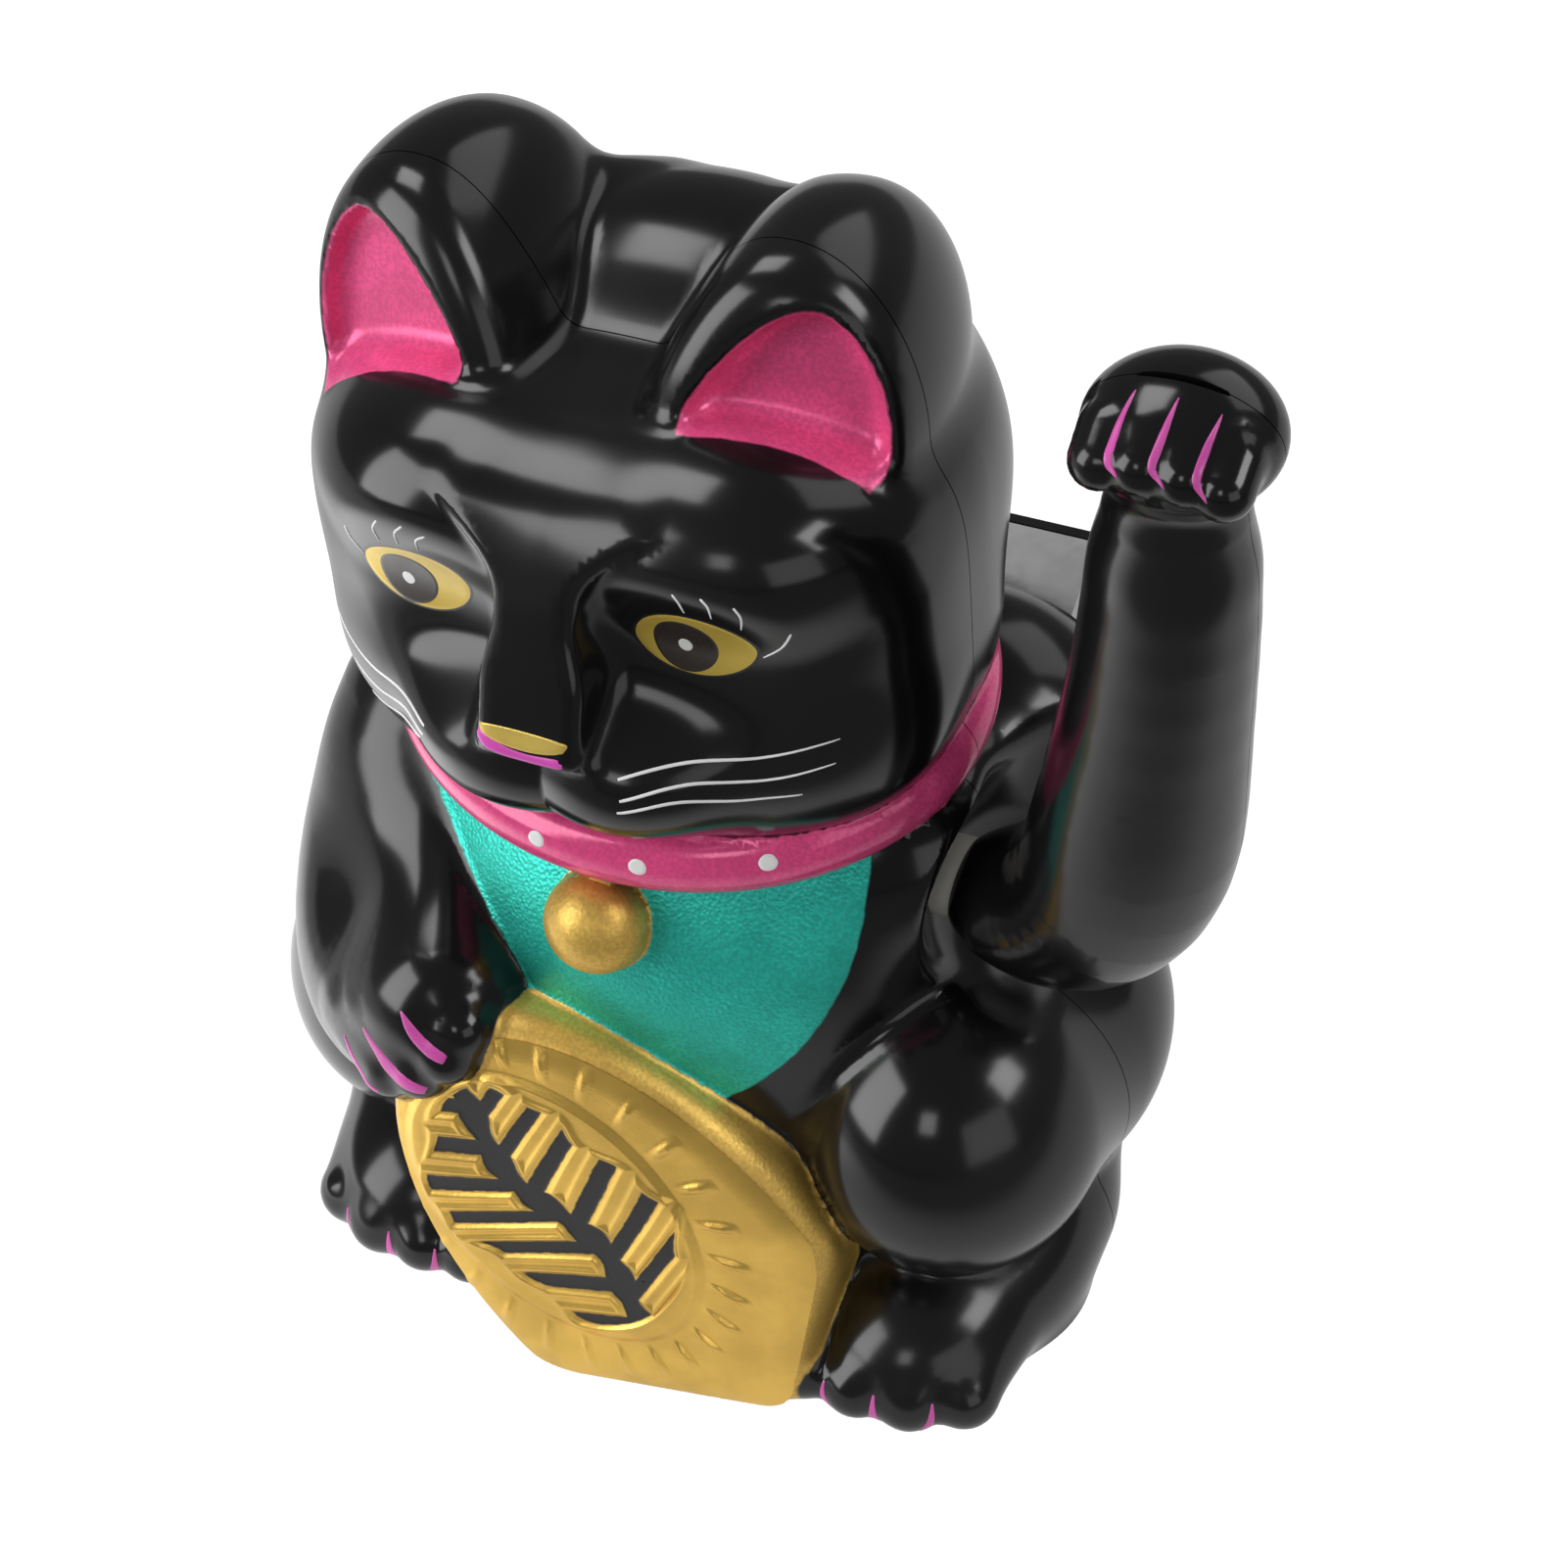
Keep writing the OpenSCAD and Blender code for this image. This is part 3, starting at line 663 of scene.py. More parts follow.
def dress(obj, material):
    obj.data.materials.clear()
    obj.data.materials.append(material)
    return obj


def dress_frame():
    """Gives every carried-over CAD node its finish by its record slot."""
    finishes = {
        "black_gloss": dict(colour=BLACK, roughness=0.16, coat=0.3),
        "black_satin": dict(colour=(0.014, 0.014, 0.016), roughness=0.30),
        "natural_plastic": dict(colour=(0.62, 0.60, 0.54), roughness=0.42),
        "screw_steel": dict(colour=(0.52, 0.52, 0.54), roughness=0.32, metallic=1.0, stretch=(1, 1, 6)),
        "axle_steel": dict(colour=(0.60, 0.60, 0.62), roughness=0.20, metallic=1.0, stretch=(6, 1, 1)),
        "nickel": dict(colour=(0.66, 0.64, 0.58), roughness=0.25, metallic=1.0, stretch=(1, 5, 1)),
        "brass": dict(colour=(0.70, 0.50, 0.20), roughness=0.28, metallic=1.0),
        "board_green": dict(colour=(0.03, 0.18, 0.08), roughness=0.35, coat=0.4),
        "winding_copper": dict(colour=(0.60, 0.24, 0.09), roughness=0.30, metallic=1.0, grain=2500,
                               stretch=(1, 1, 8)),
        "component_black": dict(colour=(0.02, 0.02, 0.02), roughness=0.45),
        "component_sleeve": dict(colour=(0.03, 0.06, 0.25), roughness=0.28, coat=0.3),
        "component_tan": dict(colour=(0.55, 0.42, 0.24), roughness=0.40),
        "lead_red": dict(colour=(0.50, 0.02, 0.02), roughness=0.40),
        "lead_black": dict(colour=(0.02, 0.02, 0.02), roughness=0.42),
        "cell_jacket": dict(colour=(0.06, 0.22, 0.10), roughness=0.22, coat=0.5),
        "magnet_grey": dict(colour=(0.16, 0.16, 0.17), roughness=0.45, metallic=0.6),
        "weight_iron": dict(colour=(0.30, 0.30, 0.31), roughness=0.48, metallic=0.9),
        "paint_pink": dict(colour=EAR_PINK, roughness=0.3),
        "paint_claw": dict(colour=CLAW_PINK, roughness=0.3),
        "paint_teal": dict(colour=TEAL, roughness=0.35),
        "paint_gold": dict(colour=GOLD, roughness=0.35, metallic=0.8),
        "paint_white": dict(colour=(0.8, 0.8, 0.8), roughness=0.35),
    }
    for name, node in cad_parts.items():
        slots = [m.name.split(".")[0] for m in node.data.materials if m] or ["black_satin"]
        made = [finish_material(name + "_" + s, **finishes.get(s, finishes["black_satin"])) for s in slots]
        node.data.materials.clear()
        for m in made:
            node.data.materials.append(m)


# ---- Casing ------------------------

BASE_CORNERS = ((26.0, -12.0), (20.0, 15.0))
FLOOR = 2.4
POST = (27.0, 18.0)
PARTING_GAP = 0.06
ARM_GAP = 0.05


def bib_field(P):
    d = ellipse(P[0] + 0.8, P[2] - 58.0, 23.1, 26.3)
    _, up = collar_axes(P)
    d = np.maximum(np.maximum(d, P[1] + 13.0), up)
    return np.maximum(d, 0.5 - hanging_arm_field(P))


def boss_places():
    reach = 6.5 * math.cos(math.radians(45))
    return [(side * (x + reach), y + math.copysign(reach, y)) for x, y in BASE_CORNERS for side in (-1, 1)]


def void_field(P):
    """Hollow inside the casing, kept clear of the screw posts and the base cover's bosses."""
    d = np.maximum(figure_field(P) + WALL, FLOOR - P[2])
    post = np.sqrt((abs(P[0]) - POST[0]) ** 2 + (P[2] - POST[1]) ** 2) - 3.75
    d = np.maximum(d, -post)
    for x, y in boss_places():
        boss = np.maximum(np.sqrt((P[0] - x) ** 2 + (P[1] - y) ** 2) - 4.5, P[2] - 11.0)
        d = np.maximum(d, -boss)
    return d


def rod_object(start, end, r, sides=40):
    """Cylinder between two points, as a cutter."""
    start, end = Vector(start), Vector(end)
    bm = bmesh.new()
    length = (end - start).length * MM
    bmesh.ops.create_cone(bm, cap_ends=True, segments=sides, radius1=r * MM, radius2=r * MM, depth=length)
    turn = (end - start).to_track_quat("Z", "Y").to_matrix().to_4x4()
    bm.transform(Matrix.Translation((start + end) / 2 * MM) @ turn)
    return object_from(bm, "rod")


def arc_points(centre, r, first, last, steps=10):
    angles = [math.radians(first + (last - first) * i / steps) for i in range(steps + 1)]
    return [(centre[0] + r * math.cos(a), centre[1] + r * math.sin(a)) for a in angles]


def base_prism_object(r, low, high):
    (fx, fy), (rx, ry) = BASE_CORNERS
    side = math.degrees(math.atan2(fx - rx, ry - fy))
    outline = arc_points((fx, fy), r, -90, side) + arc_points((rx, ry), r, side, 90)
    outline += arc_points((-rx, ry), r, 90, 180 - side) + arc_points((-fx, fy), r, 180 - side, 270)
    n = len(outline)
    points = [(x, y, low) for x, y in outline] + [(x, y, high) for x, y in outline]
    faces = [tuple(range(n))[::-1], tuple(range(n, 2 * n))]
    faces += [(i, (i + 1) % n, n + (i + 1) % n, n + i) for i in range(n)]
    return mesh_object("prism", points, faces, smooth=False)


def hull_object(node, grow=0.0):
    """Convex hull of a CAD node, as a cutter."""
    bm = bmesh.new()
    bm.from_mesh(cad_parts[node].data)
    hull = bmesh.ops.convex_hull(bm, input=bm.verts)
    keep = {e for e in hull["geom"] if isinstance(e, bmesh.types.BMFace)}
    bmesh.ops.delete(bm, geom=[f for f in bm.faces if f not in keep], context="FACES")
    bmesh.ops.delete(bm, geom=[v for v in bm.verts if not v.link_faces], context="VERTS")
    bmesh.ops.recalc_face_normals(bm, faces=bm.faces)
    middle = sum((v.co for v in bm.verts), Vector()) / len(bm.verts)
    for v in bm.verts:
        v.co += (v.co - middle).normalized() * grow * MM
    return object_from(bm, "hull")


def set_normals(obj, field):
    """Skin faces take the field's own slope as normals; cut faces stay flat."""
    mesh = obj.data
    points = points_of(obj)
    value, slope, _ = gradient(field, points)
    loops = len(mesh.loops)
    vertex = np.empty(loops, np.int32)
    mesh.loops.foreach_get("vertex_index", vertex)
    starts = np.empty(len(mesh.polygons), np.int32)
    totals = np.empty(len(mesh.polygons), np.int32)
    flat = np.empty(len(mesh.polygons) * 3)
    mesh.polygons.foreach_get("loop_start", starts)
    mesh.polygons.foreach_get("loop_total", totals)
    mesh.polygons.foreach_get("normal", flat)
    flat = flat.reshape(-1, 3)
    polygon = np.repeat(np.arange(len(starts)), totals)
    loop_flat = flat[polygon]
    on_skin = (abs(value[vertex]) < 0.08) & ((slope[vertex] * loop_flat).sum(1) > 0.55)
    whole = np.minimum.reduceat(on_skin.astype(int), starts)[polygon] > 0
    normals = np.where(whole[:, None], slope[vertex], loop_flat)
    mesh.polygons.foreach_set("use_smooth", [True] * len(mesh.polygons))
    mesh.normals_split_custom_set(normals.tolist())


def add_fields(obj, fields):
    points = points_of(obj)
    for name, field in fields.items():
        layer = obj.data.attributes.new(name, "FLOAT", "POINT")
        values = np.broadcast_to(field(list(points.T)), len(points))
        layer.data.foreach_set("value", np.clip(values, -20, 20).astype(np.float32))


PAINT_FIELDS = {
    "ear_pink": ear_paint_field,
    "bib": bib_field,
    "collar": collar_field,
    "gold": lambda P: np.minimum(coin_field(P), bell_field(P)),
}


def build_casing():
    fine, coarse = ((0.7, 1.5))
    low, high = (-46.0, -47.0, -3.0), (46.0, 36.0, 126.0)
    skin = lambda P: np.maximum(figure_field(P), -1.0 - P[2])
    outer = mesh_object("outer", *relax_net(skin, low, high, fine))
    void = mesh_object("void", *surface_net(void_field, (-44.0, -45.0, 1.5), (44.0, 32.0, 124.0), coarse))
    cut(outer, box_object((-60, -60, 0.0), (60, 60, 140)), "INTERSECT")
    cut(outer, void)
    cut(outer, base_prism_object(10.0, -1.0, FLOOR))
    cut(outer, hull_object("battery_box", 0.06))
    cut(outer, rod_object((15, PIVOT_Y, PIVOT_Z), (30, PIVOT_Y, PIVOT_Z), 3.0))
    for side in (-1, 1):
        x = side * POST[0]
        cut(outer, rod_object((x, -3.0, POST[1]), (x, 60, POST[1]), 2.8))
        cut(outer, rod_object((x, -19.0, POST[1]), (x, -2.0, POST[1]), 1.3))
    for x, y in boss_places():
        cut(outer, rod_object((x, y, -1.0), (x, y, 10.0), 1.3))
    ahead = box_object((-70, -70, -1), (70, PARTING_Y - PARTING_GAP, 140))
    behind = box_object((-70, PARTING_Y + PARTING_GAP, -1), (70, 70, 140))
    front = cut(copy_of(outer), ahead, "INTERSECT")
    rear = cut(outer, behind, "INTERSECT")
    for obj, name in ((front, "front_casing"), (rear, "rear_casing")):
        finish_casing(obj, name, figure_field, PAINT_FIELDS)
        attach(obj, "body")
    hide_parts("front_shell")
    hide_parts("rear_shell")


def finish_casing(obj, name, field, paint_fields):
    obj.name = name
    set_normals(obj, field)
    add_fields(obj, paint_fields)
    dress(obj, casing_material(name))


def relax_net(field, low, high, step):
    points, faces = surface_net(field, low, high, step)
    return relax(field, points, faces), faces


def lean_object(obj):
    """Turns an upright cutter of the raised arm onto the leaning arm."""
    axle = Matrix.Translation(Vector((0, PIVOT_Y, PIVOT_Z)) * MM)
    obj.data.transform(axle @ Matrix.Rotation(math.radians(ARM_LEAN), 4, "X"))
    return obj


def build_arm():
    fine = 0.65
    low, high = (23.0, -36.0, 38.0), (62.0, 6.0, 128.0)
    outer = mesh_object("outer", *relax_net(arm_field, low, high, fine))
    void = mesh_object("void", *surface_net(arm_void_field, low, high, 1.3))
    cut(outer, void)
    cut(outer, lean_object(rod_object((20, 0, 0), (38, 0, 0), 4.0)))
    cut(outer, mesh_object("slit", *surface_net(slit_field, low, high, 0.35)))
    ahead = lean_object(box_object((0, -60, -60), (90, -ARM_GAP, 120)))
    behind = lean_object(box_object((0, ARM_GAP, -60), (90, 60, 120)))
    front = cut(copy_of(outer), ahead, "INTERSECT")
    rear = cut(outer, behind, "INTERSECT")
    halves = ((front, "arm_front_casing", "arm_front_half"), (rear, "arm_rear_casing", "arm_rear_half"))
    for obj, name, node in halves:
        finish_casing(obj, name, arm_field, dict.fromkeys(PAINT_FIELDS, no_paint_field))
        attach(obj, "arm")
        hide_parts(node)


def no_paint_field(P):
    """Far outside any paint, everywhere."""
    return P[0] * 0 + 9.0


def slit_field(P):
    """Slit over the top of the raised paw, along the seam of its halves."""
    return ellipsoid(arm_frame(P), (50.6, 0.0, 71.5), (5.2, 0.32, 3.0))


def arm_void_field(P):
    """Hollow inside the raised arm, kept clear of the two saddles on its hub."""
    Q = arm_frame(P)
    d = arm_field(P) + 1.4
    for x in (30.0, 36.0):
        d = np.maximum(d, 1.0 - abs(Q[0] - x))
    return d


def grid_faces(rows, columns, start=0):
    """Faces between the neighbours of a grid of points that is kept row by row."""
    corners = (0, 1, columns + 1, columns)
    return [tuple(start + r * columns + c + k for k in corners)
            for r in range(rows - 1) for c in range(columns - 1)]


# ---- Small painted details ------------------------

def film(name, grids, lift, field, material, body="body"):
    """Thin coats of paint: each grid of points (rows, columns, 3) is laid on the field's surface
    and raised by lift, in millimetres, a function of the share of the grid's rows and columns."""
    points, faces, normals = [], [], []
    start = 0
    for grid in grids:
        rows, columns = grid.shape[:2]
        flat = settle(field, grid.reshape(-1, 3).astype(float), rounds=4)
        _, slope, _ = gradient(field, flat)
        height = np.array([[lift(r / (rows - 1), c / (columns - 1)) for c in range(columns)]
                           for r in range(rows)])
        flat = flat + slope * height.reshape(-1, 1)
        faces += grid_faces(rows, columns, start)
        points.append(flat)
        normals.append(slope)
        start += rows * columns
    made = mesh_object(name, np.concatenate(points), faces)
    orient(made, np.concatenate(normals))
    dress(made, material)
    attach(made, body)
    return made


def orient(obj, outward):
    """Turns each face to look the same way as the surface under it."""
    bm = bmesh.new()
    bm.from_mesh(obj.data)
    bm.verts.ensure_lookup_table()
    bm.normal_update()
    wrong = [f for f in bm.faces if f.normal.dot(Vector(outward[f.verts[0].index])) < 0]
    bmesh.ops.reverse_faces(bm, faces=wrong)
    bm.to_mesh(obj.data)
    bm.free()


def stroke_grid(field, points, width, count=24, across=7):
    """Grid of points for a painted stroke; its width in millimetres depends on the share of its length."""
    path = settle(field, smooth_path(points, count))
    _, slope, _ = gradient(field, path)
    along = np.gradient(path, axis=0)
    side = np.cross(slope, along)
    side /= np.linalg.norm(side, axis=1, keepdims=True)
    share = np.linspace(-0.5, 0.5, across)
    widths = np.array([width(i / (count - 1)) for i in range(count)])
    return path[:, None, :] + side[:, None, :] * (share[None, :, None] * widths[:, None, None])


def disc_grid(centre, u, v, outline, rings=8, sides=48):
    """Grid of points for a painted patch round centre; outline gives its reach along u and v at an angle."""
    centre, u, v = (np.array(a, float) for a in (centre, u, v))
    angles = np.linspace(0, 2 * math.pi, sides + 1)
    edge = np.array([outline(a) for a in angles])
    reach = edge[:, :1] * u + edge[:, 1:] * v
    share = np.linspace(0.02, 1.0, rings)
    return centre + share[:, None, None] * reach[None, :, :]


def stroke_lift(height):
    """Height over a stroke: full in its middle, sunk at its sides and ends."""
    def lift(r, c):
        edge = min(1.0, 4.0 * min(c, 1 - c), 14.0 * min(r, 1 - r))
        return height * (2.0 * math.sqrt(max(edge, 0.0)) - 1.0)
    return lift


def disc_lift(height):
    """Height over a patch: even, but sunk at its edge."""
    return lambda r, _: height if r < 0.9 else -0.05


# ---- Face, claws, collar dots and coin face ------------------------

EYES = (
    dict(centre=(-13.8, -27.0, 90.5), u=(0.985, -0.166, 0.053), v=(-0.074, -0.125, 0.989), half=(6.1, 4.15)),
    dict(centre=(12.3, -27.2, 91.0), u=(0.988, 0.144, 0.054), v=(-0.027, -0.183, 0.983), half=(6.0, 4.45)),
)


def eye_outline(half, share=1.0):
    """Almond, a little slimmer than an ellipse toward its corners, at a share of its size."""
    def outline(angle):
        c, s = math.cos(angle), math.sin(angle)
        return c * half[0] * share, math.copysign(abs(s) ** 1.12, s) * half[1] * share
    return outline


def circle(r_u, r_v=None, du=0.0, dv=0.0):
    return lambda angle: (du + math.cos(angle) * r_u, dv + math.sin(angle) * (r_v or r_u))


def build_eyes():
    white = finish_material("eye_white", (0.80, 0.80, 0.78), 0.3)
    yellow = finish_material("eye_yellow", (0.62, 0.44, 0.07), 0.34, 0.3)
    ring = finish_material("eye_ring", (0.010, 0.010, 0.010), 0.3)
    pupil = finish_material("eye_pupil", (0.030, 0.022, 0.018), 0.3)
    layers = (
        ("eye_rings", ring, 0.03, lambda half: eye_outline(half, 1.05)),
        ("eye_yellows", yellow, 0.06, eye_outline),
        ("eye_pupils", pupil, 0.09, lambda half: circle(0.53 * half[0], 0.82 * half[1], -1.0, -0.5)),
        ("eye_lights", white, 0.13, lambda half: circle(0.70, 0.80, -1.1, -0.7)),
    )
    for name, material, height, outline in layers:
        grids = []
        for eye in EYES:
            shape = outline(eye["half"])
            middle = [(shape(0)[k] + shape(math.pi)[k]) / 2 for k in range(2)]
            around = lambda angle: (shape(angle)[0] - middle[0], shape(angle)[1] - middle[1])
            place, u, v = (np.array(eye[key]) for key in ("centre", "u", "v"))
            centre = place + middle[0] * u + middle[1] * v
            grids.append(disc_grid(centre, u, v, around, 14, 72))
        film(name, grids, disc_lift(height), head_field, material)


def tapered(width, root=0.25, tip=0.1):
    """Stroke width that swells in its first third and runs out to its tip."""
    def at(share):
        if share >= 1:
            return width * tip
        swell = math.sin(math.pi * (root + (1 - root) * share)) ** 0.7
        return width * (tip + (1 - tip) * swell)
    return at


LASHES = (
    ((11.9, -29.3, 97.9), (12.3, -29.0, 96.9), (12.4, -28.5, 95.3)),
    ((14.3, -29.2, 98.0), (14.8, -28.9, 97.0), (14.7, -28.3, 95.3)),
    ((16.9, -28.7, 97.4), (17.3, -28.3, 96.1), (16.9, -27.7, 94.2)),
    ((20.6, -26.3, 94.0), (19.6, -26.2, 92.0), (17.6, -26.0, 90.2)),
    ((-10.5, -29.3, 97.5), (-11.7, -29.0, 96.5), (-12.2, -28.2, 94.6)),
    ((-12.6, -29.3, 98.0), (-13.7, -29.0, 96.7), (-14.1, -28.2, 94.7)),
    ((-15.2, -29.1, 97.7), (-16.0, -28.6, 96.3), (-16.1, -28.0, 94.3)),
    ((-19.9, -27.0, 94.4), (-20.0, -26.6, 92.7), (-19.0, -26.1, 90.9)),
)
WHISKERS = (
    ((7.1, -34.1, 80.1), (12.1, -31.0, 80.9), (17.5, -27.4, 80.4), (22.8, -23.3, 81.0)),
    ((7.5, -34.9, 78.7), (12.4, -31.8, 79.4), (17.6, -27.8, 78.3), (22.6, -24.1, 78.8)),
    ((7.3, -35.3, 77.6), (11.9, -32.9, 78.2), (16.3, -29.3, 76.6), (20.5, -26.3, 76.2)),
    ((-11.2, -32.9, 79.0), (-14.7, -30.1, 79.2), (-20.0, -26.8, 78.4), (-26.5, -21.5, 79.3)),
    ((-11.5, -33.1, 78.2), (-14.6, -30.6, 78.0), (-19.2, -27.7, 76.2), (-24.0, -24.5, 76.2)),
    ((-12.3, -32.8, 77.4), (-15.9, -29.9, 75.7), (-19.9, -27.3, 73.9), (-22.5, -25.5, 73.2)),
)


def build_lines():
    white = finish_material("line_white", (0.82, 0.82, 0.82), 0.4)
    lashes = [stroke_grid(head_field, p, tapered(0.27, 0.3, 0.35), 16) for p in LASHES]
    film("lashes", lashes, stroke_lift(0.07), head_field, white)
    whiskers = [stroke_grid(head_field, p, tapered(0.38, 0.3, 0.3), 48) for p in WHISKERS]
    film("whiskers", whiskers, stroke_lift(0.08), head_field, white)


def build_nose():
    gold = finish_material("nose_gold", (0.66, 0.48, 0.10), 0.34, 0.4)
    lip = finish_material("nose_pink", (0.60, 0.07, 0.42), 0.3)
    lip_line = ((-4.7, -35.6, 83.6), (-2.8, -36.3, 82.7), (0.0, -36.6, 82.3), (3.6, -36.4, 82.6))
    band = stroke_grid(head_field, lip_line, lambda t: 1.1 + 0.3 * math.sin(math.pi * t), 28)
    film("nose_pink", [band], stroke_lift(0.06), head_field, lip)
    lens = disc_grid((-0.2, -35.8, 84.3), (1, 0, 0), (0, 0.36, 0.93), nose_outline, 8, 64)
    film("nose_gold", [lens], disc_lift(0.10), head_field, gold)


def nose_outline(angle):
    c, s = math.cos(angle), math.sin(angle)
    return c * 4.6, (s * 0.35 if s > 0 else s * 1.5)


RAISED_CLAWS = (
    ((47.5, -21.0, 121.3), (46.9, -24.0, 119.6), (47.0, -26.0, 117.9), (47.9, -26.5, 116.9)),
    ((50.8, -21.3, 121.7), (50.5, -24.4, 120.2), (50.4, -26.3, 118.3), (51.3, -26.9, 116.9)),
    ((54.0, -21.2, 120.8), (53.8, -24.0, 119.5), (53.7, -25.9, 117.8), (54.6, -26.4, 116.4)),
)
# The hanging paw's claws, each with its width
HANGING_CLAWS = (
    (((-17.2, -38.3, 46.0), (-15.1, -39.3, 43.7), (-12.2, -39.6, 42.3)), 1.8),
    (((-21.8, -38.7, 42.3), (-18.4, -40.3, 39.5), (-14.4, -40.6, 37.9)), 1.9),
    (((-24.2, -37.8, 39.6), (-22.6, -39.4, 37.4), (-19.8, -40.8, 36.0)), 1.0),
)
FOOT_CLAWS = (
    ((21.9, -37.2, 0.6), (21.8, -36.0, 5.0)),
    ((27.0, -37.4, 0.6), (27.0, -36.2, 5.6)),
    ((32.4, -36.2, 0.6), (32.6, -35.0, 5.4)),
)


def build_claws():
    pink = finish_material("claw_pink", CLAW_PINK, 0.3)

    def leaf(width, blunt):
        return lambda t: width * max(0.12, math.sin(math.pi * min(1.0, t * blunt)) ** 0.8)
    raised = [stroke_grid(arm_field, p, leaf(0.85, 1.0), 30) for p in RAISED_CLAWS]
    film("raised_claws", raised, stroke_lift(0.10), arm_field, pink, "arm")
    hanging = [stroke_grid(figure_field, p, leaf(width, 0.80), 30) for p, width in HANGING_CLAWS]
    feet = [stroke_grid(figure_field, [(side * x, y, z) for x, y, z in p], lambda t: 1.9 - 1.7 * t, 18)
            for side in (-1, 1) for p in FOOT_CLAWS]
    film("body_claws", hanging + feet, stroke_lift(0.07), figure_field, pink)


def collar_point(x):
    """Point on the front of the collar at a given x."""
    half, centre, tilt = COLLAR["half"], COLLAR["centre"], math.radians(COLLAR["tilt"])
    y = -half[1] * math.sqrt(1 - (x / half[0]) ** 2) - 2.6
    return np.array([x, centre[1] + y * math.cos(tilt), centre[2] + y * math.sin(tilt)])


def build_dots():
    white = finish_material("dot_white", (0.78, 0.78, 0.78), 0.35)
    grids = []
    for x in (-4.7, 5.0, 15.6):
        centre = settle(collar_field, collar_point(x)[None, :] + (0, 0.7, 1.5))
        _, slope, _ = gradient(collar_field, centre)
        u = np.cross((0, 0, 1), slope[0])
        u /= np.linalg.norm(u)
        grids.append(disc_grid(centre[0], u, np.cross(slope[0], u), circle(0.92), 5, 24))
    film("collar_dots", grids, disc_lift(0.07), collar_field, white)


def coin_to_frame(u, v, w):
    """Place in the frame of a point on the coin, given along, up and out of its face."""
    c, s = math.cos(math.radians(COIN["slant"])), math.sin(math.radians(COIN["slant"]))
    x = c * u - s * v + COIN["centre"][0]
    z = s * u + c * v + COIN["centre"][1]
    y = -w
    lean, turn = math.radians(COIN["lean"]), math.radians(COIN["turn"])
    y, z = y * math.cos(lean) + z * math.sin(lean), -y * math.sin(lean) + z * math.cos(lean)
    x, y = x * math.cos(turn) - y * math.sin(turn), x * math.sin(turn) + y * math.cos(turn)
    return np.stack([x + COIN["foot"][0], y + COIN["foot"][1], z + COIN["foot"][2]], -1)


def coin_relief(u, v):
    """Height of the coin's relief, a ringed leaf, and a field that is positive in its dark fill."""
    pu, pv = u + 11.0, v + 2.4
    half_u, half_v = 17.6, 12.0
    plateau = ellipse(pu, pv, half_u, half_v)
    angle = np.arctan2(pv / half_v, pu / half_u)
    ticks = np.clip(np.cos(angle * 27) * 2.4 - 1.5, 0, 1)
    band = np.clip(1.3 - abs(plateau - 3.0) / 1.7, 0, 1)
    height = 0.45 * ticks * band + 0.45 * np.clip(0.5 - plateau / 0.9, 0, 1)
    across = pv - 1.3 * np.sin(pu * 0.28)
    stem = abs(across) - 1.45 + 0.35 * np.sin(pu * 1.1)
    step = 4.9
    along = pu + 0.5 * abs(across) + np.where(across > 0, 0.0, 1.6)
    branch = abs(along / step % 1.0 - 0.5) * step * 0.89 - 0.95
    reach = ellipse(pu, across, 15.4, 9.8) + 0.5 * np.sin(pu * 0.9)
    dark = np.maximum(np.minimum(stem, branch), reach)
    height += 0.25 * np.exp(-((dark - 0.55) / 0.36) ** 2)
    height -= 0.22 * np.clip(0.5 - dark / 0.7, 0, 1)
    rim = ellipse(u, v, *COIN["half"])
    return height * np.clip(-rim / 3.0, 0, 1), -dark


def build_coin_face():
    steps = 300
    n = 2 * steps + 1
    shares, angles = np.linspace(0.004, 0.985, steps), np.linspace(0, 2 * math.pi, n)
    share, angle = np.meshgrid(shares, angles, indexing="ij")
    half_u, half_v = COIN["half"][0] - 1.0, COIN["half"][1] - 1.0
    u, v = share * half_u * np.cos(angle), share * half_v * np.sin(angle)
    height, fill = coin_relief(u, v)
    flat = coin_to_frame(u, v, np.zeros_like(u)).reshape(-1, 3)
    rest = coin_field(list(flat.T)).reshape(u.shape)
    points = coin_to_frame(u, v, height + 0.06 - np.clip(rest, -1, 6)).reshape(-1, 3)
    keep = (points[:, 2] > 0.05) & (rest.reshape(-1) < 0.6)
    faces = np.array([face for face in grid_faces(steps, n) if all(keep[i] for i in face)])
    used = np.unique(faces)
    made = mesh_object("coin_relief", points[used], np.searchsorted(used, faces))
    zero = np.array(0.0)
    out = coin_to_frame(zero, zero, zero + 1.0) - coin_to_frame(zero, zero, zero)
    orient(made, np.tile(out, (len(made.data.vertices), 1)))
    layer = made.data.attributes.new("fill", "FLOAT", "POINT")
    layer.data.foreach_set("value", fill.reshape(-1)[used].astype(np.float32))
    dress(made, coin_material())
    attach(made, "body")


def coin_material():
    s = Shader("coin_gold")
    tone = s.ramp(s.noise(160.0, 3.0), 0.3, 0.7)
    gold = s.mix(tone, scaled(GOLD, 0.98), scaled(GOLD, 1.25))
    wobble = s.ramp(s.noise(900.0, 2.0), 0.3, 0.7, -0.05, 0.05)
    mask = s.ramp(s.maths("ADD", s.attribute("fill"), wobble), 0.0, 0.2)
    s.set("Base Color", s.mix(mask, gold, (0.018, 0.018, 0.02)))
    s.set("Roughness", s.mix(mask, 0.36, 0.5))
    s.set("Metallic", s.mix(mask, 0.85, 0.0))
    s.bump(s.cells(2600.0), 0.012)
    return s.material


# ---- Stage and light ------------------------

AIM = Vector((0.0, 0.0, 0.08))


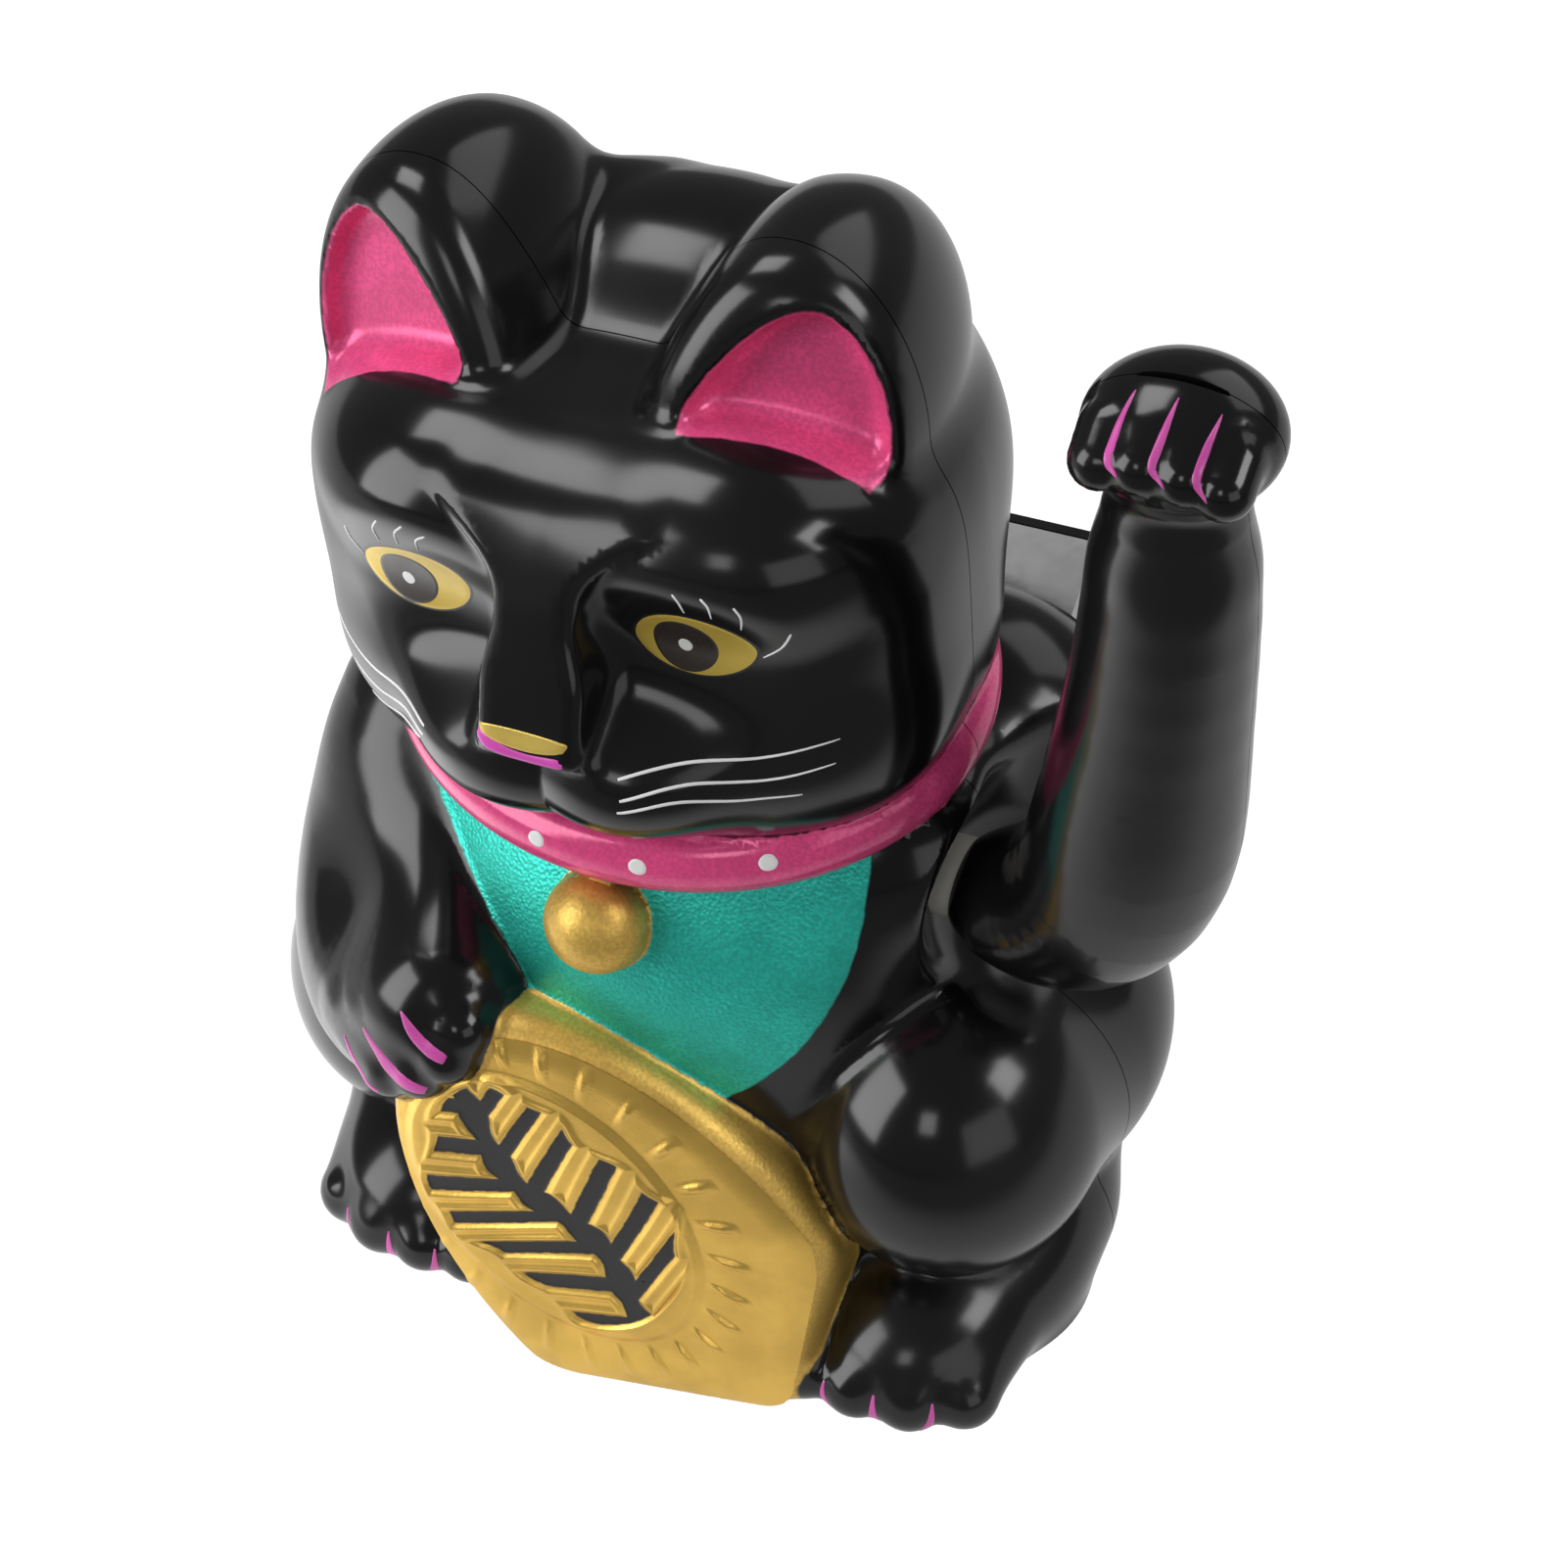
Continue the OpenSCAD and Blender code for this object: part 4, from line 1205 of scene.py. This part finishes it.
def soft_box(name, place, width, height, power):
    """Area light at a place, in metres and watts, that faces the figure."""
    data = bpy.data.lights.new(name, "AREA")
    data.shape = "RECTANGLE"
    data.size, data.size_y = width, height
    data.energy = power
    turn = (AIM - place).to_track_quat("-Z", "Y").to_matrix().to_4x4()
    linked(name, data).matrix_world = Matrix.Translation(place) @ turn


# Name, turn from the front toward the right, rise, distance, width, height (m) and radiance
SOFT_BOXES = (
    ("box_left", -46, 24, 0.62, 0.36, 0.50, 5.4),
    ("box_top", -98, 67, 0.75, 0.32, 0.30, 6.0),
    ("box_front", 8, 30, 0.75, 0.16, 0.18, 3.6),
    ("box_right", 56, 14, 0.80, 0.50, 0.40, 1.1),
    ("box_side", 90, 36, 0.75, 0.28, 0.28, 7.0),
    ("box_rear", 150, 42, 0.80, 0.60, 0.45, 1.3),
)


# Over the floor, in metres: the camera's direction of view, and where the glow fades and swells
VIEW_X, VIEW_Y = -0.4766, 0.879
FADE_START, FADE_LENGTH = -0.110, 0.040
SWELL_X, SWELL_Y, SWELL_SIZE = -0.11, -0.06, 0.06


def floor_glow(x, y):
    """Floor's brightness in reflections: it fades in front of the figure and swells at its left."""
    fade = min(1.0, max(0.0, (VIEW_X * x + VIEW_Y * y - FADE_START) / FADE_LENGTH))
    swell = math.exp(-((x - SWELL_X) ** 2 + (y - SWELL_Y) ** 2) / SWELL_SIZE ** 2)
    return 0.05 + 0.52 * fade + 2.1 * swell


def white_to_camera(tree, strength, socket):
    """Feeds the socket a strength that is at least 1 for what the camera sees directly."""
    seen = tree.nodes.new("ShaderNodeLightPath").outputs["Is Camera Ray"]
    larger = tree.nodes.new("ShaderNodeMath")
    larger.operation = "MAXIMUM"
    tree.links.new(seen, larger.inputs[0])
    if isinstance(strength, float):
        larger.inputs[1].default_value = strength
    else:
        tree.links.new(strength, larger.inputs[1])
    tree.links.new(larger.outputs[0], socket)


def build_stage():
    world = bpy.data.worlds.new("world")
    world.use_nodes = True
    background = world.node_tree.nodes["Background"]
    background.inputs[0].default_value = (1.0, 1.0, 1.0, 1.0)
    white_to_camera(world.node_tree, 0.15, background.inputs[1])
    bpy.context.scene.world = world
    marks = [-4000, -1500, -600] + list(range(-300, 301, 10)) + [600, 1500, 4000]
    n = len(marks)
    spots = [(x, y, -0.02) for y in marks for x in marks]
    floor = mesh_object("floor", spots, grid_faces(n, n))
    glow = floor.data.attributes.new("glow", "FLOAT", "POINT")
    glow.data.foreach_set("value", [floor_glow(x * MM, y * MM) for x, y, _ in spots])
    s = Shader("floor")
    tone = s.ramp(s.noise(3.0, 2.0), 0.3, 0.7)
    s.set("Base Color", s.mix(tone, (0.09, 0.09, 0.09), (0.11, 0.11, 0.11)))
    s.set("Roughness", 0.9)
    s.set("Emission Color", (1.0, 1.0, 1.0))
    white_to_camera(s.tree, s.attribute("glow"), s.surface.inputs["Emission Strength"])
    dress(floor, s.material)
    for name, turn, rise, reach, width, height, radiance in SOFT_BOXES:
        a, e = math.radians(turn), math.radians(rise)
        toward = Vector((math.sin(a) * math.cos(e), -math.cos(a) * math.cos(e), math.sin(e)))
        soft_box(name, AIM + reach * toward, width, height, radiance * math.pi * width * height)


dress_frame()
build_casing()
build_arm()
build_eyes()
build_lines()
build_nose()
build_claws()
build_dots()
build_coin_face()
build_stage()
